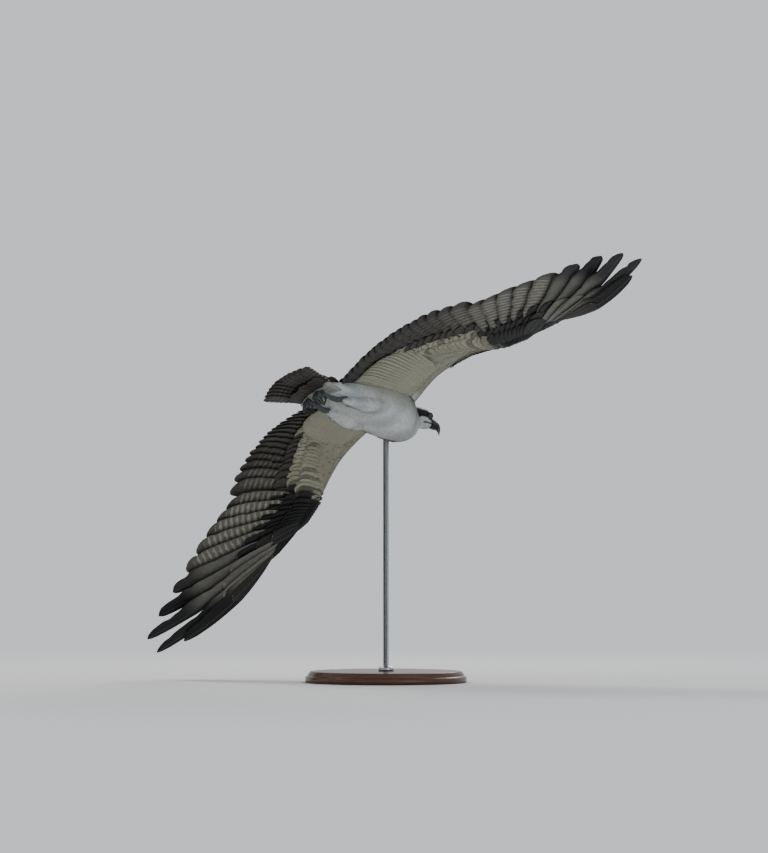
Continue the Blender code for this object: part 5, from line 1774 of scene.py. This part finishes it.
def tail_look(k):
    """Colours of tail quill k: dull bars, a dark band, a thin pale tip, and pale spots of painted light on
    the outer edges.
    """
    outermost = k in (0, RECTRICES - 1)
    inks, bars = paints("tail_top", "tail_under"), paints("tail_top_bar", "tail_under_bar")
    tip, spot = paints("tail_tip", "tail_spot")

    def look(s, aside, under):
        rim = float(smoothstep(s, 0.972, 0.990))
        if rim > 0.0:
            return inks[under], tip, rim
        band = 1.0 - float(smoothstep(s, 0.82, 0.88))
        # Painted light shining through the thin outer edge of the outermost quills
        if outermost and under and aside > 0.25:
            return inks[under], spot, 0.60 * (0.4 + 0.6 * band)
        return inks[under], bars[under], (0.26 if aside < 0.0 else 0.20) * band

    return look


def straight_feather(feathers, root, tip, away, over, stations, rows, look, tilt=0.0, wide=1.0,
                     cup=0.04):
    """A feather along a straight shaft, its leading side away and its upper side over."""
    along = (tip - root).normalized()
    out = (away - along * away.dot(along)).normalized()
    over = (over - along * over.dot(along) - out * over.dot(out)).normalized()
    shares = [float(s) ** 0.85 for s in np.linspace(0.0, 1.0, rows)]
    lead, trail = zip(*(widths(stations, s) for s in shares))
    feathers.add([root.lerp(tip, s) for s in shares], [out] * rows, [over] * rows,
                 [w * wide for w in lead], [w * wide for w in trail], (tip - root).length, look, tilt, cup)


def build_tail():
    """Twelve flight feathers with the middle pair on top, and the coverts at their roots."""
    draw = random.Random(5)
    feathers = Feathers()
    lateral, upward = Vector((0.0, 1.0, 0.0)), Vector((0.0, 0.0, 1.0))
    last = RECTRICES - 1
    for k in range(RECTRICES):
        u = 2.0 * k / last - 1.0
        layer = upward * (RECTRIX_STEP * ((last / 2.0 - abs(k - last / 2.0)) - last / 4.0))
        root = Vector((TAIL_ROOT_X, -u * TAIL_ROOT_HALF, TAIL_ROOT_RISE)) + layer
        back = TAIL_TIP_X + (TAIL_CORNER[0] - TAIL_TIP_X) * abs(u) ** 2.2
        tip = Vector((back, -u * (TAIL_CORNER[1] - 0.010), TAIL_CORNER[2])) + layer
        tip = root.lerp(tip, 1.0 + draw.uniform(-0.008, 0.008))
        outer = lateral if u < 0.0 else -lateral
        straight_feather(feathers, root, tip, outer, upward, RECTRIX_STATIONS, 36, tail_look(k), 2.5)
    for face, first, far, low, high, tone, rim in TAIL_TIERS:
        for j in range(TAIL_TIER_FEATHERS):
            u = 2.0 * j / (TAIL_TIER_FEATHERS - 1) - 1.0
            layer = (1.0 - abs(u)) * 2.5 * MM * face
            root = Vector((first, -u * 0.027, TAIL_ROOT_RISE + face * low * MM + layer))
            tip = Vector((far + 0.010 * abs(u) + draw.uniform(-0.004, 0.004), -u * 0.038,
                          TAIL_CORNER[2] + face * high * MM + layer))
            outer = lateral if u < 0.0 else -lateral
            # Under the tail these colours carry painted shade
            look = plain_look(paint(tone) * draw.uniform(0.85, 1.1), paint(rim), 0.92)
            straight_feather(feathers, root, tip, outer, upward, COVERT_STATIONS, 14, look, 2.5 * face,
                             0.85)
    add_piece("tail_feathers", feathers.mesh("tail", lambda points: points), finish(flight_feather_keratin),
              ("tail",))


def armpit_feathers(feathers, draw):
    """Three rows of axillaries, long and pale, from the trunk out under the wing."""
    for share, drop in ((1.0, 0.0), (0.74, 1.6), (0.48, 3.0)):
        for j in range(AXILLARIES):
            u = j / (AXILLARIES - 1.0)
            place = -1.2 + 6.6 * u + draw.uniform(-0.1, 0.1)
            root = Vector((-0.060, 0.050 + 0.085 * u, 0.040 + 0.012 * u))
            end = FAN.point(max(place, 0.02), 0.64 - 0.34 * u**3)
            if place < 0.0:
                end += Vector((0.0, 0.014 * place, -0.001))
            end = root.lerp(end, share)
            over = FAN.frame(max(place, 0.1), 0.3)[2]
            root -= over * 0.014
            end -= over * (0.0058 + drop * MM)
            # The lining's greys here carry painted shade under the wing
            tone = sum(paints("lining", "lining_pale")) * 0.5 * draw.uniform(0.96, 1.03)
            straight_feather(feathers, root, end, Vector((0.0, 1.0, 0.0)), over, COVERT_STATIONS, 20,
                             plain_look(tone, tone * 0.93, 0.97), -0.7, 1.5, 0.008)


def shoulder_blade_feathers(feathers, draw):
    """Three rows of scapulars, which lie over the back and the root of the wing."""
    for reach, rise in ((1.0, 4.0), (0.74, 6.5), (0.50, 9.0)):
        for j in range(SCAPULARS):
            u = j / (SCAPULARS - 1.0)
            root = Vector((-0.045 - 0.010 * u, 0.014 + 0.075 * u, 0.070 - 0.004 * u))
            end = Vector((-0.235 + 0.030 * u, 0.016 + 0.105 * u, 0.060 + 0.004 * math.sin(math.pi * u)))
            end = root.lerp(end, reach) + Vector((draw.uniform(-0.005, 0.005), 0.0, rise * MM))
            tone = over_wing(np.array([tuple(end)]))[0] * draw.uniform(0.9, 1.05)
            straight_feather(feathers, root, end, Vector((0.0, 1.0, 0.0)), Vector((0.0, 0.0, 1.0)),
                             COVERT_STATIONS, 18, plain_look(tone, (tone + paint("pale_edge")) * 0.5, 0.955),
                             5.0, 1.3, 0.05)


def build_shoulder_feathers(word):
    """Axillaries and scapulars of one side."""
    feathers = Feathers()
    draw = random.Random(60 + SIDES[word])
    armpit_feathers(feathers, draw)
    shoulder_blade_feathers(feathers, draw)
    mirror = np.array((1.0, SIDES[word], 1.0))
    mesh = feathers.mesh("shoulder_" + word, lambda points: points * mirror)
    add_piece("shoulder_feathers_" + word, mesh, finish(flight_feather_keratin))


# Head parts


def head_world(points):
    """Points of the head's own frame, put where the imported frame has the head."""
    return to_world(moved(points, HEAD))


def build_eyes():
    """Eyeballs with a slight cornea, each with its pupil on the line of sight."""
    eye_radius = bpy.context.scene.osprey_head.eye_radius
    for word, side in SIDES.items():
        gaze = Vector((0.16, side, 0.02)).normalized()
        rows, count = 30, 40
        turn = Vector((0.0, 0.0, 1.0)).rotation_difference(gaze).to_matrix()
        verts, discs = [], []
        for j in range(rows + 1):
            polar = math.pi * j / rows
            radius = eye_radius * (0.985 + 0.035 * math.exp(-(polar / 0.42) ** 2))
            for i in range(count):
                angle = 2.0 * math.pi * i / count
                point = Vector((math.sin(polar) * math.cos(angle), math.sin(polar) * math.sin(angle),
                                math.cos(polar)))
                verts.append(tuple(turn @ point * radius))
                discs.append((eye_radius * polar, i / count * 0.02))
        centre = np.array((EYE_AT[0], EYE_AT[1] * side, EYE_AT[2]))
        mesh = mesh_from("eyeball_" + word, head_world(np.array(verts) + centre), bands(rows, count),
                         in_bird=False)
        discs = np.array(discs, np.float32)[corner_points(mesh)]
        mesh.uv_layers.new(name="disc").data.foreach_set("uv", discs.ravel())
        with edited(mesh) as work:
            bmesh.ops.remove_doubles(work, verts=work.verts[:], dist=1e-7)
        outward(mesh)
        add_piece("eyeball_" + word, mesh, finish(wet_eye), ("eye_" + word,))


def build_lids():
    """Bare dark rims of the lids, the upper one lower and heavier under the brow."""
    sizes = bpy.context.scene.osprey_head
    for word, side in SIDES.items():
        eye = Vector((EYE_AT[0], EYE_AT[1] * side, EYE_AT[2]))
        out = Vector((EYE_OUT[0], side * EYE_OUT[1], EYE_OUT[2])).normalized()
        first = Vector((1.0, 0.0, 0.0))
        first = (first - out * first.dot(out)).normalized()
        second = Vector((0.0, 0.0, 1.0))
        second = (second - out * second.dot(out) - first * second.dot(first)).normalized()
        around, across = 48, 10
        verts, faces = [], []
        for i in range(around):
            angle = 2.0 * math.pi * i / around
            up = math.sin(angle)
            radius = sizes.lid_radius * (1.0 - 0.13 * max(up, 0.0) ** 2 - 0.05 * max(-up, 0.0) ** 2)
            thick = 0.00085 + 0.0004 * max(up, 0.0)
            away = first * math.cos(angle) + second * up
            depth = math.sqrt(max(sizes.eye_radius**2 - radius**2, 0.0))
            centre = eye + out * (depth + 0.0003) + away * radius
            for j in range(across):
                turn = 2.0 * math.pi * j / across
                rim = away * (thick * math.cos(turn)) + out * (thick * 1.1 * math.sin(turn))
                verts.append(tuple(centre + rim))
        for i in range(around):
            for j in range(across):
                n, m = (i + 1) % around, (j + 1) % across
                faces.append((i * across + j, n * across + j, n * across + m, i * across + m))
        mesh = outward(mesh_from("lids_" + word, head_world(verts), faces, in_bird=False))
        add_piece("lids_" + word, mesh, finish(lid_skin))


def bill_section(u, upper):
    """Distance, half width, crest and edge of one half of the bill at u from face to tip."""
    bill = bpy.context.scene.osprey_head
    reach = bill.bill_length if upper else bill.bill_length * 0.72
    x = HEAD_STATIONS[-1][0] + reach * math.sin(u * math.pi * 0.5) ** (1.0 if upper else 0.9)
    width = bill.cere_half_width * (1.0 - u**1.3) ** 0.8 + 0.0005
    mouth = -0.0030 - 0.0010 * u
    if upper:
        drop = bill.bill_hook * max(0.0, (u - 0.30) / 0.70) ** 2.2
        crest = bill.cere_height * (1.0 - u**1.8) ** 0.75 - drop * 1.3
        edge = mouth - drop
        return x, width, max(crest, edge + 0.0010), edge
    return x, width, mouth - 0.0004 - 0.0008 * u, mouth - CERE_UNDER * 0.62 * (1.0 - u**1.8) - 0.0008


def bill_body(upper, first, last, steps, swell=0.0):
    """Closed part of the bill from u first to last, a little fuller by swell."""
    sides = 20
    rings = []
    for k in range(steps + 1):
        u = first + (last - first) * k / steps
        x, width, crest, edge = bill_section(u, upper)
        points = []
        for i in range(sides + 1):
            angle = math.pi * i / sides
            lift = abs(math.sin(angle)) ** 0.8
            high, low = (crest, edge) if upper else (edge, crest)
            fuller = swell * 0.010 * lift if upper else -swell * 0.010 * lift
            z = low + (high - low) * lift + fuller
            points.append((x, width * math.cos(angle) * (1.0 + swell), z))
        for i in range(1, sides // 2):
            angle = math.pi - math.pi * i / (sides // 2)
            low = edge if upper else crest
            hollow = 0.0006 * math.sin(math.pi * i / (sides // 2))
            points.append((x, width * math.cos(angle), low + (hollow if upper else -hollow)))
        rings.append(np.array(points))
    return loft(rings)


def build_bill():
    """Black hooked bill with its blue-grey cere, nostrils and the line of the mouth."""
    halves = (("bill_hook", True, ("bill_upper",)), ("bill_under", False, ("bill_lower",)))
    for name, upper, nodes in halves:
        verts, faces = bill_body(upper, 0.0, 1.0, 36 if upper else 24)
        verts = np.asarray(verts)
        verts[:, 0] += 0.0002
        mesh = outward(mesh_from(name, head_world(verts), faces, in_bird=False))
        add_piece(name, mesh, finish(bill_horn), nodes)
    verts, faces = bill_body(True, 0.0, 0.27, 14, 0.05)
    verts = np.asarray(verts)
    verts[:, 0] -= 0.0012
    mesh = outward(mesh_from("cere", head_world(verts), faces, in_bird=False))
    cere = link("cere", mesh, finish(cere_skin))
    cere.data.shade_smooth()
    x, width, crest, edge = bill_section(0.20, True)
    for side in SIDES.values():
        line = [(x - 0.0022, side * width * 1.02, edge + (crest - edge) * 0.55),
                (x, side * width * 0.98, edge + (crest - edge) * 0.62),
                (x + 0.0020, side * width * 0.92, edge + (crest - edge) * 0.66)]
        verts, faces = tube(line, (0.0005, 0.0011, 0.0005), 12, (0.0, 0.0, 1.0))
        nostril = outward(mesh_from("nostril", head_world(verts), faces, in_bird=False))
        cutter = link("nostril_cutter", nostril)
        change = cere.modifiers.new("nostril", "BOOLEAN")
        change.operation = "DIFFERENCE"
        change.solver = "EXACT"
        change.object = cutter
        depsgraph = bpy.context.evaluated_depsgraph_get()
        cere.data = bpy.data.meshes.new_from_object(cere.evaluated_get(depsgraph))
        cere.modifiers.clear()
        bpy.data.objects.remove(cutter, do_unlink=True)
    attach(cere, "root")


# Legs and feet


def curl(start, along, bend, length, turn, steps):
    """Points of an arc that leaves start along a direction and turns towards bend."""
    points = [Vector(start)]
    for k in range(steps):
        angle = math.radians(turn) * (k + 0.5) / steps
        points.append(points[-1] + (along * math.cos(angle) + bend * math.sin(angle)) * (length / steps))
    return points


def build_feet():
    """Bare shanks and closed feet, with rough pads and long curved talons."""
    sizes = bpy.context.scene.osprey_feet
    for word, side in SIDES.items():
        knee, heel, foot = Vector(KNEE), Vector(HEEL), Vector(FOOT)
        along = (foot - heel).normalized()
        start = knee.lerp(heel, THIGH_END - SHANK_OVERLAP)
        start.z += SHANK_ROOT_SINK
        line = smooth_rows((start, heel, heel.lerp(foot, 0.5), foot, foot + along * 0.006), 18)
        radii = smooth_values([SHANK_RADIUS * r for r in (0.7, 1.1, 0.9, 1.15, 0.7)], 18)
        skin = [tube(line, radii, 20)]
        claws = []
        down = Vector((0.0, 0.0, -1.0))
        steps, claw_steps = 16, 14
        for aside, turn in TOES:
            out = Vector((0.0, 1.0, 0.0)) * math.sin(math.radians(aside))
            ahead = (along * math.cos(math.radians(aside)) + out).normalized()
            base = foot - along * 0.002 + out * 0.004
            toe = curl(base, ahead, down, sizes.toe_length, turn, steps)
            shares = [k / steps for k in range(steps + 1)]
            pads = [sizes.toe_radius * (1.0 - 0.18 * u + 0.07 * math.cos(6.0 * math.pi * u)) for u in shares]
            pads[-1] *= 0.9
            across = ahead.cross(down)
            skin.append(tube(toe, pads, 16, across))
            last = (toe[-1] - toe[-2]).normalized()
            curve = math.degrees(sizes.claw_turn)
            claw = curl(toe[-1] - last * 0.003, last, -ahead, sizes.claw_length, curve, claw_steps)
            taper = [0.0027 * (1.0 - (k / claw_steps) ** 1.4) + 0.00025 for k in range(claw_steps + 1)]
            claws.append(tube(claw, taper, 14, across))
        mirror = np.array((1.0, side, 1.0))
        verts, faces = joined(skin)
        bodies = [(to_world(verts * mirror), faces)]
        mesh = remeshed("leg_skin_" + word, bodies, LEG_VOXEL, 3)
        add_piece("leg_skin_" + word, mesh, finish(leg_scale_skin), ("foot_" + word,))
        verts, faces = joined(claws)
        mesh = outward(mesh_from("talons_" + word, verts * mirror, faces))
        add_piece("talons_" + word, mesh, finish(talon_horn))


# Stand and stage


def turned(name, profile, sides):
    """Solid of revolution about the stand's axis, from its underside's middle to its top's."""
    rings = []
    for r, z in profile:
        angles = 2.0 * math.pi * np.arange(sides) / sides
        rings.append(np.stack([r * np.cos(angles), r * np.sin(angles), np.full(sides, z)], axis=1))
    return outward(mesh_from(name, *loft(rings), in_bird=False))


def quarter(radius, height, curve, hollow):
    """Points of a quarter round that runs in and up, hollow or full."""
    points = []
    for k in range(7):
        angle = 0.5 * math.pi * k / 6
        if hollow:
            points.append((radius - curve * math.sin(angle), height + curve * (1.0 - math.cos(angle))))
        else:
            points.append((radius - curve * (1.0 - math.cos(angle)), height + curve * math.sin(angle)))
    return points


def build_stand():
    """Turned base with a cove and rounded rims, a collar, and the rod up into the breast."""
    sizes = bpy.context.scene.osprey_stand
    radius, height = sizes.base_radius, sizes.base_height
    profile = [(radius - 0.002, 0.0), (radius, 0.0015)]
    profile += quarter(radius, height * 0.52, 0.006, True)
    profile += quarter(radius - 0.0085, height - 0.0035, 0.0035, False)
    profile += [(radius * 0.5, height), (0.004, height)]
    add_piece("stand_turned_base", turned("base", profile, 160), finish(varnished_walnut),
              ("stand_base",))
    low, high = STAND_ROD
    collar, rod, foot = 0.5 * (high.x - low.x), sizes.rod_radius, low.z
    profile = [
        (collar - 0.0008, foot), (collar, foot + 0.0008), (collar, foot + 0.0058),
        (collar - 0.001, foot + 0.0068), (collar * 0.80, foot + 0.0095), (collar * 0.62, foot + 0.0100),
        (rod, foot + 0.0108), (rod, high.z - 0.001), (rod * 0.8, high.z),
    ]
    add_piece("stand_steel_rod", turned("rod", profile, 64), finish(brushed_stainless_steel),
              ("stand_rod",))


def studio_floor_paint(name):
    """Pale matte floor that fades into the even surround."""
    stage = bpy.context.scene.osprey_stage
    made, add = new_finish(name)
    shader = add("ShaderNodeBsdfPrincipled", {
        "Base Color": opaque(stage.floor), "Roughness": 0.85,
    })
    place = add("ShaderNodeTexCoord").outputs["Object"]
    away = add("ShaderNodeVectorMath", {0: place}, operation="LENGTH")
    fade = add("ShaderNodeMapRange", {0: away, 1: FLOOR_FADE[0], 2: FLOOR_FADE[1]},
               interpolation_type="SMOOTHSTEP")
    glow = add("ShaderNodeEmission", {"Color": opaque(stage.surround), "Strength": 1.0})
    both = add("ShaderNodeMixShader", {0: fade, 1: shader, 2: glow})
    add("ShaderNodeOutputMaterial", {"Surface": both})
    return made


def floor_disc():
    """Flat round floor in rings, wide enough to reach past the camera."""
    sides = 96
    verts, faces, starts = [(0.0, 0.0, 0.0)], [], []
    for r in (1.0, 3.0, 10.0, FLOOR_RADIUS):
        starts.append(len(verts))
        angles = 2.0 * math.pi * np.arange(sides) / sides
        verts += [(r * math.cos(a), r * math.sin(a), 0.0) for a in angles]
    for i in range(sides):
        n = (i + 1) % sides
        faces.append((0, starts[0] + i, starts[0] + n))
        for a, b in zip(starts, starts[1:]):
            faces.append((a + i, b + i, b + n, a + n))
    return mesh_from("floor", verts, faces, in_bird=False)


def add_lamp(name, at, size, power, tint):
    """Round soft light that shines on the bird."""
    data = bpy.data.lights.new(name, "AREA")
    data.shape = "DISK"
    data.size = size
    data.energy = power
    data.color = srgb(tint)
    lamp = bpy.data.objects.new(name, data)
    bpy.context.scene.collection.objects.link(lamp)
    lamp.location = at
    lamp.rotation_mode = "QUATERNION"
    lamp.rotation_quaternion = (Vector(at) - Vector((0.0, 0.0, LAMPS_AIM))).to_track_quat("Z", "Y")


def build_stage():
    """Pale studio floor that fades into an even pale surround, soft lights and the camera."""
    scene = bpy.context.scene
    stage = scene.osprey_stage
    scene.world = bpy.data.worlds.new("studio")
    scene.world.use_nodes = True
    tree = scene.world.node_tree
    tree.nodes.clear()
    light = add_node(tree, "ShaderNodeBackground", {"Color": opaque(stage.surround), "Strength": 1.0})
    add_node(tree, "ShaderNodeOutputWorld", {"Surface": light})
    link("floor", floor_disc(), finish(studio_floor_paint))
    add_lamp("key", (-1.6, 1.6, 3.2), 1.6, stage.key_power, "FFF6E8")
    add_lamp("fill", (2.2, -2.6, 1.6), 2.4, stage.fill_power, "E8F0FF")
    add_lamp("rim", (1.0, 2.6, 1.9), 1.2, stage.rim_power, "FFFFFF")
    camera = bpy.data.cameras.new("camera")
    camera.sensor_fit = "AUTO"
    camera.sensor_width = SENSOR
    camera.lens = SENSOR * stage.camera_back / (PHOTO_HIGH / PIXELS_PER_METRE)
    camera.clip_end = CLIP_END
    held = bpy.data.objects.new("camera", camera)
    scene.collection.objects.link(held)
    held.location = (CAMERA_AT[0], WRISTS_AT[1] - stage.camera_back, CAMERA_AT[1])
    held.rotation_euler = (math.radians(90.0), 0.0, 0.0)
    scene.camera = held
    scene.view_settings.view_transform = "AgX"
    scene.view_settings.look = "AgX - Medium High Contrast"


# Operators, panel and registration


class OSPREY_OT_body_skin(bpy.types.Operator):
    """Build one skin over the trunk, neck, head, thighs and the flesh of both wings"""

    bl_idname = "osprey.body_skin"
    bl_label = "Body skin"

    def execute(self, context):
        build_skin()
        return {"FINISHED"}


class OSPREY_OT_coat(bpy.types.Operator):
    """Cover the body skin with small feathers, tract by tract"""

    bl_idname = "osprey.coat"
    bl_label = "Coat of small feathers"

    def execute(self, context):
        skin = bpy.data.objects.get("body_skin")
        if skin is None:
            raise RuntimeError("The coat needs the body skin, which isn't built yet")
        build_coat(skin)
        return {"FINISHED"}


class OSPREY_OT_wing_feathers(bpy.types.Operator):
    """Build the flight feathers, coverts and thumb feathers of both wings"""

    bl_idname = "osprey.wing_feathers"
    bl_label = "Wing feathers"

    def execute(self, context):
        for word in SIDES:
            build_wing_feathers(word)
        return {"FINISHED"}


class OSPREY_OT_tail_feathers(bpy.types.Operator):
    """Build the tail's fan and the coverts over and under its root"""

    bl_idname = "osprey.tail_feathers"
    bl_label = "Tail feathers"

    def execute(self, context):
        build_tail()
        return {"FINISHED"}


class OSPREY_OT_shoulder_feathers(bpy.types.Operator):
    """Build the long soft feathers of the armpits and the shoulders"""

    bl_idname = "osprey.shoulder_feathers"
    bl_label = "Shoulder feathers"

    def execute(self, context):
        for word in SIDES:
            build_shoulder_feathers(word)
        return {"FINISHED"}


class OSPREY_OT_eyes(bpy.types.Operator):
    """Build both eyeballs"""

    bl_idname = "osprey.eyes"
    bl_label = "Eyes"

    def execute(self, context):
        build_eyes()
        return {"FINISHED"}


class OSPREY_OT_lids(bpy.types.Operator):
    """Build the bare rims of the lids"""

    bl_idname = "osprey.lids"
    bl_label = "Lids"

    def execute(self, context):
        build_lids()
        return {"FINISHED"}


class OSPREY_OT_bill(bpy.types.Operator):
    """Build both halves of the bill, and the cere with its nostrils"""

    bl_idname = "osprey.bill"
    bl_label = "Bill"

    def execute(self, context):
        build_bill()
        return {"FINISHED"}


class OSPREY_OT_feet(bpy.types.Operator):
    """Build the bare legs, toes and talons"""

    bl_idname = "osprey.feet"
    bl_label = "Feet"

    def execute(self, context):
        build_feet()
        return {"FINISHED"}


class OSPREY_OT_stand(bpy.types.Operator):
    """Build the wooden base and the steel rod"""

    bl_idname = "osprey.stand"
    bl_label = "Display stand"

    def execute(self, context):
        build_stand()
        return {"FINISHED"}


class OSPREY_OT_stage(bpy.types.Operator):
    """Build the floor, the lights and the camera"""

    bl_idname = "osprey.stage"
    bl_label = "Stage"

    def execute(self, context):
        build_stage()
        return {"FINISHED"}


OPERATORS = (
    OSPREY_OT_body_skin,
    OSPREY_OT_coat,
    OSPREY_OT_wing_feathers,
    OSPREY_OT_tail_feathers,
    OSPREY_OT_shoulder_feathers,
    OSPREY_OT_eyes,
    OSPREY_OT_lids,
    OSPREY_OT_bill,
    OSPREY_OT_feet,
    OSPREY_OT_stand,
    OSPREY_OT_stage,
)


class OSPREY_PT_pieces(bpy.types.Panel):
    """Settings and pieces of the osprey"""

    bl_idname = "OSPREY_PT_pieces"
    bl_label = "Osprey"
    bl_space_type = "VIEW_3D"
    bl_region_type = "UI"
    bl_category = "Osprey"

    def draw(self, context):
        for name, settings in SETTINGS.items():
            box = self.layout.box()
            box.label(text=name.replace("osprey_", "").capitalize())
            for setting in settings.__annotations__:
                box.prop(getattr(context.scene, name), setting)
        for operator in OPERATORS:
            self.layout.operator(operator.bl_idname)


CLASSES = (*SETTINGS.values(), *OPERATORS, OSPREY_PT_pieces)


def register():
    for each in CLASSES:
        bpy.utils.register_class(each)
    for name, settings in SETTINGS.items():
        setattr(bpy.types.Scene, name, bpy.props.PointerProperty(type=settings))


def unregister():
    for name in SETTINGS:
        delattr(bpy.types.Scene, name)
    for each in reversed(CLASSES):
        bpy.utils.unregister_class(each)


def main():
    register()
    bpy.ops.osprey.body_skin()
    bpy.ops.osprey.coat()
    bpy.ops.osprey.wing_feathers()
    bpy.ops.osprey.tail_feathers()
    bpy.ops.osprey.shoulder_feathers()
    bpy.ops.osprey.eyes()
    bpy.ops.osprey.lids()
    bpy.ops.osprey.bill()
    bpy.ops.osprey.feet()
    bpy.ops.osprey.stand()
    bpy.ops.osprey.stage()


if __name__ == "__main__":
    main()
